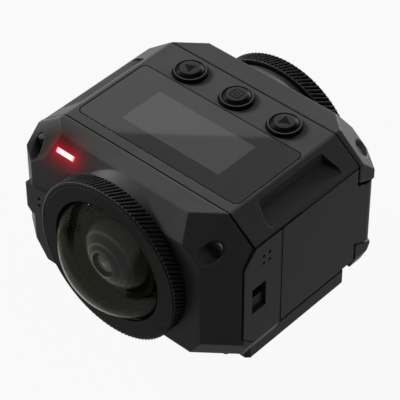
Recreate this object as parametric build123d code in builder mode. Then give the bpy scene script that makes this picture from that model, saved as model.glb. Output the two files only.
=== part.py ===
"""360 degree camera with two fisheye lenses back to back in a rugged split case.

Frame: +Z up from the underside of the mount base, +X towards the battery door, the front lens looks along -Y.
Millimetres throughout. The rear half of the case is the front half turned half a turn about Z.
"""
from build123d import *
from math import pi
import os

os.makedirs("parts", exist_ok=True)

# Case outline: heights above the ground, half widths along X, half depths along Y
deck_height = 37.6
belly_height = 4.0
lens_height = 18.87
deck_half_width = 22.26
side_half_width = 28.95
shoulder_drop = 5.1
parting_half_depth = 15.9
crease_half_depth = 20.9
face_half_depth = 24.5
slope_drop = 5.0
corner_drop = 8.8
plain_face_half_width = 22.3
plain_side_half_depth = 19.1
strong_crease_half_width = 18.2
strong_face_half_width = 24.0
strong_side_half_depth = 20.9
strong_shoulder_half_depth = 17.2
bevel_height = 4.3
bevel_inset = 1.8
side_bevel_height = 2.8
side_bevel_inset = 1.2
case_wall = 1.5
deck_wall = 1.8
side_wall = 4.35
seam_gap = 0.26
fit_gap = 0.1
overrun = 1.0

# Side panels, seen from the door side: depth along Y, height along Z
panel_shoulder_half_depth = 15.7
panel_foot_height = 6.8
panel_low_corner_height = 9.95
tongue_low_height = 11.25
tongue_high_height = 28.1
tongue_fall = 2.2

# Battery door, its seal, hinge and latch
door_seam_depth = 7.95
door_thickness = 1.65
door_edge_chamfer = 1.0
hinge_x = 26.6
hinge_y = 19.4
knuckle_radius = 2.35
knuckle_gap = 0.25
pin_radius = 0.6
pin_fit = 0.05
pin_reach = 2.6
post_radius = 2.75
seal_thickness = 0.5
seal_width = 0.8
door_wall_back = 0.65
bay_opening_half_depth = 4.55
port_opening_depth = 14.2
opening_low = 8.6
opening_high = 30.2
slot_near_depth = 16.7
slot_far_depth = 12.55
slot_low = 15.2
slot_high = 21.9
latch_height = 3.3
latch_travel = 2.4
latch_plate_thickness = 1.2
latch_pin_size = 0.9
latch_tab_width = 1.5
latch_tab_height = 1.4
latch_tab_low = 17.1
latch_pocket_low = 11.0
latch_pocket_high = 24.9
spring_thickness = 0.3

# Lens stack: radii about the lens axis, distances outward from the upright middle plane
neck_front_radius = 17.2
neck_front = 24.4
mount_radius = 16.4
mount_bore_radius = mount_radius - 1.5
mount_back = 17.1
mount_floor = 1.2
lug_radius = mount_radius + 0.7
lug_thickness = 0.6
lug_angle = 44.0
lug_count = 3
ring_back = 24.65
ring_front = 27.84
ring_radius = 18.2
ring_knurl_radius = 18.5
ring_bore_radius = mount_radius + fit_gap
ring_groove_radius = lug_radius + 0.2
ring_lug_thickness = 0.55
ring_lip_thickness = 0.74
ring_opening_radius = 14.05
ring_chamfer = 0.5
knurl_count = 110
knurl_depth = 0.28
knurl_width_share = 0.45
dome_apex = 34.9
dome_thickness = 1.2
dome_edge_radius = 14.0
flange_radius = 16.2
flange_thickness = 0.7
seal_inner_radius = 15.1
seal_height = 0.4
mount_front = ring_front - ring_lip_thickness - flange_thickness - seal_height - fit_gap
fisheye_radius = 9.0
fisheye_sphere_radius = 11.0
fisheye_apex = 29.3
fisheye_rim = 0.8
fisheye_hollow_radius = 6.5
cell_front_radius = 10.3
cell_back_radius = 8.2
cell_step = 22.4
cell_back = 7.6
inner_lens_radius = 6.8
inner_lens_places = (10.6, 14.2, 18.0)
inner_lens_thickness = 2.2
sensor_board_half = 9.5
sensor_board_near = 5.4
sensor_board_thickness = 1.0
sensor_half_width = 4.4
sensor_half_height = 3.4
sensor_thickness = 0.9
baffle_thickness = 0.6
baffle_front = 25.6
baffle_steps = 4

# Deck: window, display, buttons
window_left = 21.26
window_right = 21.62
window_front = 13.2
window_back = 6.64
window_thickness = 0.8
window_gap = 0.28
window_corner = 1.2
tape_thickness = 0.15
display_half_width = 14.6
display_front = 11.2
display_back = 4.6
display_thickness = 1.6
button_pitch = 12.8
button_middle_x = 0.4
button_y = 10.9
button_radius = 3.0
button_top_radius = 2.15
button_proud = 1.4
button_shoulder = 0.6
button_travel = 0.5
stem_radius = 1.3
collar_gap = 0.15
collar_wall = 0.7
collar_radius = button_radius + collar_gap + collar_wall
collar_proud = 0.9
collar_depth = 0.8
collar_chamfer = 0.3
button_board_half_width = 17.0
button_board_front = 7.4
button_board_back = 14.4
board_thickness = 0.8
switch_half = 1.7
switch_height = 0.8
recess_top_run = 1.25
recess_low_run = 7.25
recess_wall_drop = 2.9
recess_wall_lean = 0.3
recess_top_front = 8.9
recess_top_back = 10.2
recess_low_front = 10.9
recess_low_back = 12.0
recess_corner = 1.2
recess_pan_wall = 0.9
deck_edge_chamfer = 0.28
cover_lip_chamfer = 0.5

# Lamp and microphones on the front shell
lamp_x = 15.6
lamp_drop = 2.5
lamp_length = 4.9
lamp_width = 1.1
lamp_depth = 2.2
lamp_board_thickness = 0.8
mic_block_left = 25.7
mic_block_right = 19.2
mic_block_low = 15.5
mic_block_high = 23.2
mic_block_proud = 0.35
mic_block_chamfer = 1.2
mic_hole_radius = 0.4
mic_pitch_x = 1.75
mic_pitch_z = 1.9
front_mic_x = 21.0
front_mic_z = 19.8
side_mic_depth = 12.5
side_mic_z = 27.95
mic_radius = 1.9
mic_thickness = 1.3

# Shell fasteners
plain_screw_x = 22.4
strong_screw_x = 24.6
screw_z = 31.4
plain_head_depth = 20.0
strong_head_depth = 20.0
screw_radius = 0.9
screw_fit = 0.06
head_radius = 1.75
head_height = 1.1
head_pocket_radius = 1.95
socket_radius = 0.75
socket_depth = 0.6
frame_boss_radius = 1.4
frame_boss_length = 6.0
shell_boss_radius = 3.0
foot_screw_x = 19.6
foot_screw_depth = 18.9
foot_lug_thickness = 2.2
foot_lug_half_width = 2.1
nub_x = 24.3
nub_depth = 19.0
nub_radius = 0.85
nub_height = 0.6
gasket_width = 0.6
gasket_height = 0.6
gasket_inset = 0.45

# Record slider on the side away from the door
slider_length = 16.0
slider_height = 9.0
slider_proud = 1.4
slider_lift = 0.25
slider_z = 19.0
slider_y = 3.0
slider_travel = 6.0
slider_rib_count = 5
slider_rib_depth = 0.4
slider_chamfer = 0.9
slider_stem_length = 5.0
slider_stem_height = 3.0
slider_carrier_thickness = 0.9
slider_carrier_length = 9.0
slider_carrier_height = 7.0
slider_sensor_half = 1.6
slider_sensor_thickness = 0.8

# Inside the frame
bay_left = 16.2
bay_half_depth = 5.1
bay_wall = 0.7
battery_gap = 0.2
battery_right = 26.0
contact_count = 3
contact_width = 2.0
contact_pitch = 3.2
main_board_x = 20.0
main_board_half_depth = 13.0
main_board_low = 10.6
main_board_high = 32.0
main_chip_half = 5.0
main_chip_height = 1.0
spreader_x = 22.4
spreader_half_depth = 11.0
spreader_high = 29.4
io_board_left = 11.2
io_board_low = 7.0
io_board_high = 31.0
card_width = 11.0
card_length = 15.0
card_thickness = 1.0
card_low = 18.6
card_right = 26.4
card_socket_length = 14.4
card_socket_right = 24.5
card_socket_thickness = 1.9
socket_wall = 0.3
usb_low = 10.8
usb_height = 5.6
usb_depth = 2.6
usb_length = 5.6
hdmi_gap = 1.2
antenna_left = 15.0
antenna_right = 20.4
antenna_front = 12.8
antenna_back = 6.8
antenna_thickness = 2.8

# Mount base
base_half_width = 27.4
base_front = 15.8
base_back = 15.0
base_corner = 0.8
base_edge_chamfer = 0.6
bushing_radius = 4.2
bushing_bore_radius = 2.55
bushing_top = 5.7
bushing_depth = 5.2
base_screw_x = 21.5
base_screw_y = 11.5
base_screw_length = 8.0
base_boss_radius = 2.2
base_boss_top = 9.6
pad_count = 5
pad_pitch = 2.4
pad_radius = 0.75
pad_depth = 0.6
pad_y = 9.5

lens_plane = Plane(origin=(0, 0, lens_height), x_dir=(0, 0, 1), z_dir=(1, 0, 0))
lens_axis = Axis((0, 0, lens_height), (0, -1, 0))
middle = Vector(0, 0, lens_height)
panel_inner = side_half_width - side_wall
shoulder_height = deck_height - shoulder_drop
corner_height = deck_height - corner_drop


def facet(first, second, third):
    """Plane through three points of the outline, facing away from the middle of the body."""
    first, second, third = Vector(first), Vector(second), Vector(third)
    normal = (second - first).cross(third - first)
    plane = Plane(origin=first, x_dir=second - first, z_dir=normal)
    return -plane if (middle - first).dot(normal) > 0 else plane


def bevel_under(upright, height, inset):
    """Facet that leans in under an upright facet, down to the belly."""
    along = upright.z_dir.cross(Vector(0, 0, 1))
    high = Vector(upright.origin.X, upright.origin.Y, belly_height + height)
    low = high - upright.z_dir * inset - Vector(0, 0, height)
    return facet(high, high + along, low)


def front_facets():
    """The facets of the front half, door side first; the rear half repeats them half a turn round."""
    plain_foot = (plain_face_half_width, -face_half_depth, 0)
    plain_side = (side_half_width, -plain_side_half_depth, 0)
    strong_foot = (-strong_face_half_width, -face_half_depth, 0)
    strong_side = (-side_half_width, -strong_side_half_depth, 0)
    shoulder = facet((deck_half_width, 0, deck_height), (deck_half_width, parting_half_depth, deck_height),
                     (side_half_width, 0, shoulder_height))
    slope = facet((0, -crease_half_depth, deck_height), (deck_half_width, -crease_half_depth, deck_height),
                  (0, -face_half_depth, deck_height - slope_drop))
    plain_top = facet((plain_side[0], plain_side[1], corner_height),
                      (deck_half_width, -parting_half_depth, deck_height),
                      (plain_face_half_width, -face_half_depth, corner_height))
    strong_top = facet((-strong_crease_half_width, -crease_half_depth, deck_height),
                       (-side_half_width, -strong_side_half_depth, corner_height),
                       (-side_half_width, -strong_shoulder_half_depth, shoulder_height))
    plain_wall = facet(plain_foot, plain_side, (plain_side[0], plain_side[1], deck_height))
    strong_wall = facet(strong_foot, strong_side, (strong_side[0], strong_side[1], deck_height))
    side = facet((side_half_width, 0, 0), (side_half_width, face_half_depth, 0), (side_half_width, 0, deck_height))
    bevels = [bevel_under(plain_wall, bevel_height, bevel_inset),
              bevel_under(strong_wall, bevel_height, bevel_inset),
              bevel_under(side, side_bevel_height, side_bevel_inset)]
    return [shoulder, slope, plain_top, strong_top, plain_wall, strong_wall] + bevels


def half_turned(plane):
    """The same plane on the opposite side of the upright axis."""
    origin, across, normal = plane.origin, plane.x_dir, plane.z_dir
    return Plane(origin=(-origin.X, -origin.Y, origin.Z), x_dir=(-across.X, -across.Y, across.Z),
                 z_dir=(-normal.X, -normal.Y, normal.Z))


case_facets = front_facets()
case_facets += [half_turned(plane) for plane in case_facets]


def envelope(inset):
    """The faceted outline of the case as a solid, every face moved in by inset."""
    with BuildPart() as form:
        with BuildSketch(Plane.XY.offset(belly_height + inset)):
            Rectangle(2 * (side_half_width - inset), 2 * (face_half_depth - inset))
        extrude(amount=deck_height - belly_height - 2 * inset)
        for plane in case_facets:
            split(bisect_by=plane.offset(-inset), keep=Keep.BOTTOM)
    return form.part


def block(x_range, y_range, z_range):
    """Square-cornered solid between pairs of limits."""
    with BuildPart() as solid:
        with BuildSketch(Plane.XY.offset(z_range[0])):
            with Locations(((x_range[0] + x_range[1]) / 2, (y_range[0] + y_range[1]) / 2)):
                Rectangle(x_range[1] - x_range[0], y_range[1] - y_range[0])
        extrude(amount=z_range[1] - z_range[0])
    return solid.part


def side_outline(points, inner, outer):
    """Solid whose outline is given as (y, z) points and which runs from x = inner to x = outer."""
    with BuildPart() as solid:
        with BuildSketch(Plane.YZ.offset(inner)):
            with BuildLine():
                Polyline(*points, close=True)
            make_face()
        extrude(amount=outer - inner)
    return solid.part


def turned(points):
    """Solid of revolution about the front lens axis from (radius, distance outward) points."""
    with BuildPart() as solid:
        with BuildSketch(lens_plane):
            with BuildLine():
                Polyline(*points, close=True)
            make_face()
        revolve(axis=lens_axis)
    return solid.part


def tube(outer, inner, back, front):
    """Plain ring about the front lens axis."""
    return turned([(inner, back), (outer, back), (outer, front), (inner, front)])


def lens_rod(radius, back, front):
    """Plain round bar on the front lens axis."""
    return turned([(0, back), (radius, back), (radius, front), (0, front)])


def along_y(x, z, radius, front, back):
    """Round bar along Y, from y = front to y = back."""
    with BuildPart() as solid:
        with BuildSketch(Plane(origin=(x, front, z), x_dir=(1, 0, 0), z_dir=(0, 1, 0))):
            Circle(radius)
        extrude(amount=back - front)
    return solid.part


def upright(x, y, radius, low, high):
    """Round bar along Z."""
    with BuildPart() as solid:
        with BuildSketch(Plane.XY.offset(low)):
            with Locations((x, y)):
                Circle(radius)
        extrude(amount=high - low)
    return solid.part


def common(first, *others):
    """What solids share."""
    with BuildPart() as shared:
        add(first)
        for other in others:
            add(other, mode=Mode.INTERSECT)
    return shared.part


def without(first, *cuts):
    """A solid with others cut out of it."""
    with BuildPart() as rest:
        add(first)
        for cut in cuts:
            add(cut, mode=Mode.SUBTRACT)
    return rest.part


def finish(piece, name):
    """Label a finished sub-part and write it."""
    piece.part.label = name
    export_step(piece.part, f"parts/{name}.step")


def panel_points(gap, with_tongue):
    """Side panel outline on the door side, shrunk by gap; the tongue wraps the strong rear corner."""
    front = -panel_shoulder_half_depth + gap
    low_front = -plain_side_half_depth + gap
    back = panel_shoulder_half_depth - gap
    far = strong_side_half_depth + overrun
    points = [(front, shoulder_height), (low_front, corner_height), (low_front, panel_low_corner_height),
              (front, panel_foot_height), (back, panel_foot_height)]
    if with_tongue:
        fall = tongue_fall * (far - back) / (strong_side_half_depth - panel_shoulder_half_depth)
        points += [(back, tongue_low_height + gap), (far, tongue_low_height + gap - fall),
                   (far, tongue_high_height - gap - fall), (back, tongue_high_height - gap)]
    return points + [(back, shoulder_height)]


outline = envelope(0)
cavity = envelope(case_wall)
shell_rim = parting_half_depth + seam_gap / 2
frame_rim = parting_half_depth - seam_gap / 2
lower_half = block((-side_half_width, side_half_width), (-face_half_depth, face_half_depth),
                   (0, shoulder_height - seam_gap))

# Screws through the corners of a shell: x place, depth of the head's face
shell_screws = ((plain_screw_x, plain_head_depth), (-strong_screw_x, strong_head_depth))
foot_screws = (foot_screw_x, -foot_screw_x)

# Gasket under the deck in the rim of a shell
gasket_half_width = panel_inner - seam_gap - case_wall
gasket_strip = common(without(envelope(gasket_inset), envelope(gasket_inset + gasket_width)),
                      block((-gasket_half_width, gasket_half_width),
                            (-parting_half_depth - gasket_height, -parting_half_depth),
                            (shoulder_height, deck_height)))

# Shell shared by front and rear: facets, round neck behind the lens ring, pockets for the side panels
with BuildPart() as shell:
    add(outline)
    split(bisect_by=Plane.XZ.offset(shell_rim), keep=Keep.TOP)
    add(turned([(0, shell_rim), (deck_height - lens_height, shell_rim),
                (deck_height - lens_height, crease_half_depth), (neck_front_radius, neck_front), (0, neck_front)]))
    add(cavity, mode=Mode.SUBTRACT)
    for boss_x, head_depth in shell_screws:
        add(common(along_y(boss_x, screw_z, shell_boss_radius, -face_half_depth, -shell_rim), outline))
    for boss_x in foot_screws:
        add(upright(boss_x, -foot_screw_depth, head_radius + case_wall / 2, belly_height,
                    belly_height + 2 * case_wall))
    add(upright(nub_x, -nub_depth, nub_radius, belly_height - nub_height, belly_height + case_wall))
    add(lens_rod(mount_radius + fit_gap, mount_back - fit_gap, neck_front + overrun), mode=Mode.SUBTRACT)
    front_panel = side_outline(panel_points(-seam_gap, True), panel_inner - seam_gap, side_half_width + overrun)
    add(front_panel, mode=Mode.SUBTRACT)
    add(front_panel.rotate(Axis.Z, 180), mode=Mode.SUBTRACT)
    for boss_x, head_depth in shell_screws:
        add(along_y(boss_x, screw_z, head_pocket_radius, -face_half_depth - overrun, -head_depth),
            mode=Mode.SUBTRACT)
        add(along_y(boss_x, screw_z, head_radius + fit_gap, -head_depth - overrun, -head_depth + head_height),
            mode=Mode.SUBTRACT)
        add(along_y(boss_x, screw_z, screw_radius + screw_fit, -head_depth, 0), mode=Mode.SUBTRACT)
    for boss_x in foot_screws:
        add(upright(boss_x, -foot_screw_depth, head_radius + fit_gap, 0, belly_height + head_height),
            mode=Mode.SUBTRACT)
        add(upright(boss_x, -foot_screw_depth, screw_radius + screw_fit, 0, belly_height + 3 * case_wall),
            mode=Mode.SUBTRACT)
    add(gasket_strip, mode=Mode.SUBTRACT)

mic_face = face_half_depth + mic_block_proud
with BuildPart() as front_shell:
    add(shell.part)
    with BuildSketch(Plane(origin=(0, -mic_face, 0), x_dir=(1, 0, 0), z_dir=(0, -1, 0))):
        with BuildLine():
            Polyline((-mic_block_left, mic_block_high), (-mic_block_right, mic_block_high),
                     (-mic_block_right, mic_block_low), (-mic_block_left + mic_block_chamfer, mic_block_low),
                     (-mic_block_left, mic_block_low + mic_block_chamfer), close=True)
        make_face()
    extrude(amount=-(mic_block_proud + case_wall))
    with BuildSketch(Plane(origin=(-front_mic_x, -mic_face, front_mic_z), x_dir=(1, 0, 0), z_dir=(0, -1, 0))):
        with GridLocations(mic_pitch_x, mic_pitch_z, 2, 2):
            Circle(mic_hole_radius)
    extrude(amount=-(mic_block_proud + 2 * case_wall), mode=Mode.SUBTRACT)
    slope_plane = case_facets[1]
    lamp_place = slope_plane.to_local_coords(
        Vector(-lamp_x, -crease_half_depth - lamp_drop * (face_half_depth - crease_half_depth) / slope_drop,
               deck_height - lamp_drop))
    with BuildSketch(slope_plane):
        with Locations((lamp_place.X, lamp_place.Y)):
            Rectangle(lamp_length, lamp_width)
    extrude(amount=-(lamp_depth + overrun), mode=Mode.SUBTRACT)
finish(front_shell, "front_shell")

# Rear shell: the same moulding turned round, with the hinge post of the battery door in its strong corner
far_fall = tongue_fall * (strong_side_half_depth - hinge_y) / (strong_side_half_depth - panel_shoulder_half_depth)
knuckle_low = tongue_low_height - tongue_fall + far_fall + knuckle_gap
knuckle_high = tongue_high_height - tongue_fall + far_fall - knuckle_gap
post_top = knuckle_high + pin_reach + seam_gap
with BuildPart() as rear_shell:
    add(shell.part.rotate(Axis.Z, 180))
    add(common(upright(hinge_x, hinge_y, post_radius, belly_height, post_top), outline,
               block((0, side_half_width), (parting_half_depth + seam_gap / 2, face_half_depth), (0, deck_height))))
    add(upright(hinge_x, hinge_y, knuckle_radius + knuckle_gap, knuckle_low - knuckle_gap,
                knuckle_high + knuckle_gap), mode=Mode.SUBTRACT)
    swing_room = upright(hinge_x, hinge_y, knuckle_radius + 3 * knuckle_gap, knuckle_low - knuckle_gap,
                         knuckle_high + knuckle_gap)
    add(common(swing_room, block((hinge_x, side_half_width), (hinge_y, strong_side_half_depth + overrun),
                                 (0, deck_height))), mode=Mode.SUBTRACT)
    tongue_sweep = side_outline(panel_points(-seam_gap, True), panel_inner - seam_gap, side_half_width + overrun)
    add(tongue_sweep, mode=Mode.SUBTRACT)
    add(upright(hinge_x, hinge_y, pin_radius + pin_fit / 2, knuckle_low - pin_reach, knuckle_high + pin_reach),
        mode=Mode.SUBTRACT)
finish(rear_shell, "rear_shell")

# Gaskets squeezed in the rims of the two shells
with BuildPart() as shell_gaskets:
    add(gasket_strip)
    add(gasket_strip.rotate(Axis.Z, 180))
finish(shell_gaskets, "shell_gaskets")

# Centre frame: belly, thick side walls with the panels, pockets for door, latch, slider and microphone
door_inner = side_half_width - door_thickness
door_wall_face = door_inner - door_wall_back
with BuildPart() as side_panels:
    add(side_outline(panel_points(0, False), panel_inner, side_half_width))
    add(side_outline(panel_points(0, True), panel_inner, side_half_width).rotate(Axis.Z, 180))
    add(outline, mode=Mode.INTERSECT)
    add(lower_half, mode=Mode.INTERSECT)
with BuildPart() as centre_frame:
    add(outline)
    add(block((-side_half_width, side_half_width), (-frame_rim, frame_rim),
              (0, shoulder_height - seam_gap)), mode=Mode.INTERSECT)
    add(side_panels.part)
    add(block((-panel_inner, panel_inner), (-face_half_depth, face_half_depth),
              (belly_height + case_wall, deck_height)), mode=Mode.SUBTRACT)
    # Door recess and the openings behind it
    add(block((door_wall_face, side_half_width + overrun), (-door_seam_depth, parting_half_depth + overrun),
              (0, deck_height)), mode=Mode.SUBTRACT)
    add(block((panel_inner - overrun, side_half_width), (-bay_opening_half_depth, port_opening_depth),
              (opening_low, opening_high)), mode=Mode.SUBTRACT)
    # Latch slot through the panel and the pocket behind it
    add(block((panel_inner, side_half_width + overrun), (-slot_near_depth, -slot_far_depth), (slot_low, slot_high)),
        mode=Mode.SUBTRACT)
    add(block((panel_inner - overrun, door_inner), (-slot_near_depth - overrun, -bay_opening_half_depth - seal_width),
              (latch_pocket_low, latch_pocket_high)), mode=Mode.SUBTRACT)
    # Side microphone: capsule pocket and four holes
    with BuildSketch(Plane.YZ.offset(side_half_width)):
        with Locations((-side_mic_depth, side_mic_z)):
            with GridLocations(mic_pitch_x, mic_pitch_z, 2, 2):
                Circle(mic_hole_radius)
    extrude(amount=-side_wall, mode=Mode.SUBTRACT)
    with BuildSketch(Plane.YZ.offset(panel_inner - overrun)):
        with Locations((-side_mic_depth, side_mic_z)):
            Circle(mic_radius + fit_gap)
    extrude(amount=mic_thickness + 2 * overrun, mode=Mode.SUBTRACT)
    # Slot for the stem of the record slider
    stem_half = slider_stem_length / 2 + fit_gap
    add(block((-side_half_width - overrun, -panel_inner + overrun),
              (slider_y - slider_travel - stem_half, slider_y + stem_half),
              (slider_z - slider_stem_height / 2 - fit_gap, slider_z + slider_stem_height / 2 + fit_gap)),
        mode=Mode.SUBTRACT)
    # Bosses for the corner screws, lugs for the foot screws, posts for the base screws
    for turn in (0, 180):
        for boss_x, head_depth in shell_screws:
            boss = along_y(boss_x, screw_z, frame_boss_radius, -frame_rim,
                           -parting_half_depth + frame_boss_length)
            wall_x = (panel_inner + case_wall / 2) * (1 if boss_x > 0 else -1)
            rib = block((min(boss_x, wall_x), max(boss_x, wall_x)),
                        (-frame_rim, -parting_half_depth + frame_boss_length),
                        (screw_z - frame_boss_radius, screw_z))
            add(boss.rotate(Axis.Z, turn))
            add(rib.rotate(Axis.Z, turn))
            bore = along_y(boss_x, screw_z, screw_radius + screw_fit, -parting_half_depth,
                           -parting_half_depth + frame_boss_length + overrun)
            add(bore.rotate(Axis.Z, turn), mode=Mode.SUBTRACT)
        for boss_x in foot_screws:
            lug_low = belly_height + 2 * case_wall + fit_gap
            lug = block((boss_x - foot_lug_half_width, boss_x + foot_lug_half_width),
                        (-foot_screw_depth - foot_lug_half_width, -parting_half_depth + case_wall),
                        (lug_low, lug_low + foot_lug_thickness))
            web = block((boss_x - foot_lug_half_width, boss_x + foot_lug_half_width),
                        (-frame_rim, -parting_half_depth + case_wall),
                        (belly_height + case_wall, lug_low + foot_lug_thickness))
            hole = upright(boss_x, -foot_screw_depth, screw_radius + screw_fit, 0, deck_height)
            add(lug.rotate(Axis.Z, turn))
            add(web.rotate(Axis.Z, turn))
            add(hole.rotate(Axis.Z, turn), mode=Mode.SUBTRACT)
    for boss_x in (-base_screw_x, base_screw_x):
        for boss_y in (-base_screw_y, base_screw_y):
            add(upright(boss_x, boss_y, base_boss_radius, belly_height, base_boss_top))
            add(upright(boss_x, boss_y, screw_radius + screw_fit, 0, base_boss_top + overrun), mode=Mode.SUBTRACT)
    add(upright(0, 0, bushing_radius + fit_gap, 0, bushing_top + fit_gap), mode=Mode.SUBTRACT)
finish(centre_frame, "centre_frame")

# Top cover: deck and shoulders in one moulding, with the finger recesses, window rebate and button holes
glass_low = deck_height - window_thickness
deck_under = deck_height - deck_wall
window_x = (-window_left, window_right)
window_y = (-window_front, window_back)
button_places = [(button_middle_x + step * button_pitch, button_y) for step in (-1, 0, 1)]
cover_hollow = common(cavity, block((-side_half_width, side_half_width), (-face_half_depth, face_half_depth),
                                    (0, deck_under)))

# Finger recess: a steep wall under the deck edge, a floor that runs out to the lip, slanting ends, round corners
shoulder_plane = case_facets[0]
down = (Vector(side_half_width, 0, shoulder_height) - Vector(deck_half_width, 0, deck_height)).normalized()
wall_head = Vector(deck_half_width, 0, deck_height) + down * recess_top_run
floor_end = Vector(deck_half_width, 0, deck_height) + down * recess_low_run
wall_foot = wall_head + Vector(recess_wall_lean, 0, -recess_wall_drop)
reach = Vector(0, recess_corner, 0)
wall_plane = facet(wall_head, wall_foot, wall_head + reach)
floor_plane = facet(wall_foot, floor_end, wall_foot + reach)
recess_corners = [wall_head + Vector(0, -recess_top_front, 0), wall_head + Vector(0, recess_top_back, 0),
                  floor_end + Vector(0, recess_low_back, 0), floor_end + Vector(0, -recess_low_front, 0)]
with BuildPart() as finger_recess:
    with BuildSketch(shoulder_plane) as recess_mouth:
        with BuildLine():
            Polyline(*[tuple(shoulder_plane.to_local_coords(corner))[:2] for corner in recess_corners], close=True)
        make_face()
        fillet(recess_mouth.vertices(), radius=recess_corner)
    extrude(amount=-2 * recess_wall_drop)
    split(bisect_by=wall_plane, keep=Keep.TOP)
    split(bisect_by=floor_plane, keep=Keep.TOP)

# Pan behind the recess: the same mouth made larger, thickening the cover under the floor and behind the wall
with BuildPart() as recess_pan:
    with BuildSketch(shoulder_plane) as pan_mouth:
        with BuildLine():
            Polyline(*[tuple(shoulder_plane.to_local_coords(corner))[:2] for corner in recess_corners], close=True)
        make_face()
        offset(amount=recess_pan_wall)
    extrude(amount=-2 * recess_wall_drop)
    split(bisect_by=wall_plane.offset(-recess_pan_wall), keep=Keep.TOP)
    split(bisect_by=floor_plane.offset(-recess_pan_wall), keep=Keep.TOP)

# Small facets along the deck edges and along the lower lips of the cover
deck_edge = Vector(deck_half_width, 0, deck_height)
lip_edge = Vector(side_half_width, 0, shoulder_height)
cover_facets = [facet(deck_edge - Vector(deck_edge_chamfer, 0, 0), deck_edge + down * deck_edge_chamfer,
                      deck_edge + down * deck_edge_chamfer + reach),
                facet(lip_edge - down * cover_lip_chamfer, lip_edge - down * cover_lip_chamfer + reach,
                      lip_edge - Vector(0, 0, seam_gap))]
cover_facets += [half_turned(plane) for plane in cover_facets]

with BuildPart() as top_cover:
    add(outline)
    add(block((-side_half_width, side_half_width), (-frame_rim, frame_rim),
              (shoulder_height, deck_height)), mode=Mode.INTERSECT)
    add(cover_hollow, mode=Mode.SUBTRACT)
    for turn in (0, 180):
        add(common(recess_pan.part.rotate(Axis.Z, turn), outline,
                   block((-side_half_width, side_half_width), (-frame_rim, frame_rim),
                         (shoulder_height, deck_height))))
        for boss_x, head_depth in shell_screws:
            boss_room = along_y(boss_x, screw_z, frame_boss_radius + fit_gap, -parting_half_depth,
                                -parting_half_depth + frame_boss_length + fit_gap)
            add(boss_room.rotate(Axis.Z, turn), mode=Mode.SUBTRACT)
            add(boss_room.rotate(Axis.Z, turn + 180), mode=Mode.SUBTRACT)
        add(finger_recess.part.rotate(Axis.Z, turn), mode=Mode.SUBTRACT)
    for plane in cover_facets:
        split(bisect_by=plane, keep=Keep.BOTTOM)
    with BuildSketch(Plane.XY.offset(glass_low - tape_thickness)):
        with Locations(((window_x[0] + window_x[1]) / 2, (window_y[0] + window_y[1]) / 2)):
            RectangleRounded(window_x[1] - window_x[0] + 2 * window_gap, window_y[1] - window_y[0] + 2 * window_gap,
                             window_corner + window_gap)
    extrude(amount=window_thickness + tape_thickness + overrun, mode=Mode.SUBTRACT)
    add(block((-display_half_width - fit_gap, display_half_width + fit_gap),
              (-display_front - fit_gap, display_back + fit_gap), (0, deck_height)), mode=Mode.SUBTRACT)
    for place_x, place_y in button_places:
        add(upright(place_x, place_y, collar_radius, deck_height - collar_depth, deck_height + overrun),
            mode=Mode.SUBTRACT)
        add(upright(place_x, place_y, stem_radius + collar_gap, 0, deck_height), mode=Mode.SUBTRACT)
finish(top_cover, "top_cover")

with BuildPart() as display_window:
    add(block(window_x, window_y, (glass_low, deck_height)))
    fillet(display_window.edges().filter_by(Axis.Z), radius=window_corner)
finish(display_window, "display_window")

with BuildPart() as window_tape:
    add(block(window_x, window_y, (glass_low - tape_thickness, glass_low)))
    fillet(window_tape.edges().filter_by(Axis.Z), radius=window_corner)
    add(block((-display_half_width - fit_gap, display_half_width + fit_gap),
              (-display_front - fit_gap, display_back + fit_gap), (0, deck_height)), mode=Mode.SUBTRACT)
finish(window_tape, "window_tape")

with BuildPart() as display_module:
    add(block((-display_half_width, display_half_width), (-display_front, display_back),
              (glass_low - display_thickness, glass_low)))
finish(display_module, "display_module")

# Buttons: cap and stem in one, each in its own collar, over a switch on the button board
button_top = deck_height + button_proud
cap_bottom = deck_height - collar_depth + button_travel + fit_gap
board_low = deck_under - button_travel - switch_height - board_thickness - fit_gap
stem_bottom = board_low + board_thickness + switch_height + button_travel + fit_gap
for name, (place_x, place_y) in zip(("left_button", "middle_button", "right_button"), button_places):
    with BuildPart() as button:
        add(upright(place_x, place_y, button_radius, cap_bottom, button_top - button_shoulder))
        with BuildSketch(Plane.XY.offset(button_top - button_shoulder)):
            with Locations((place_x, place_y)):
                Circle(button_radius)
        with BuildSketch(Plane.XY.offset(button_top)):
            with Locations((place_x, place_y)):
                Circle(button_top_radius)
        loft()
        add(upright(place_x, place_y, stem_radius, stem_bottom, cap_bottom))
    finish(button, name)

with BuildPart() as button_collars:
    for place_x, place_y in button_places:
        add(upright(place_x, place_y, collar_radius, deck_height - collar_depth, deck_height + collar_proud))
        add(upright(place_x, place_y, button_radius + collar_gap, 0, deck_height + collar_proud + overrun),
            mode=Mode.SUBTRACT)
    rims = button_collars.faces().sort_by(Axis.Z)[-len(button_places):]
    chamfer([rim.outer_wire().edges()[0] for rim in rims], length=collar_chamfer)
finish(button_collars, "button_collars")

with BuildPart() as button_board:
    add(block((-button_board_half_width, button_board_half_width), (button_board_front, button_board_back),
              (board_low, board_low + board_thickness)))
finish(button_board, "button_board")

with BuildPart() as button_switches:
    for place_x, place_y in button_places:
        add(block((place_x - switch_half, place_x + switch_half), (place_y - switch_half, place_y + switch_half),
                  (board_low + board_thickness, board_low + board_thickness + switch_height)))
finish(button_switches, "button_switches")


def dome_profile():
    """Sphere that carries the outer face of a dome: its radius and the distance of its centre."""
    rise = dome_apex - (ring_front - ring_lip_thickness)
    radius = (dome_edge_radius ** 2 + rise ** 2) / (2 * rise)
    return radius, dome_apex - radius


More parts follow.
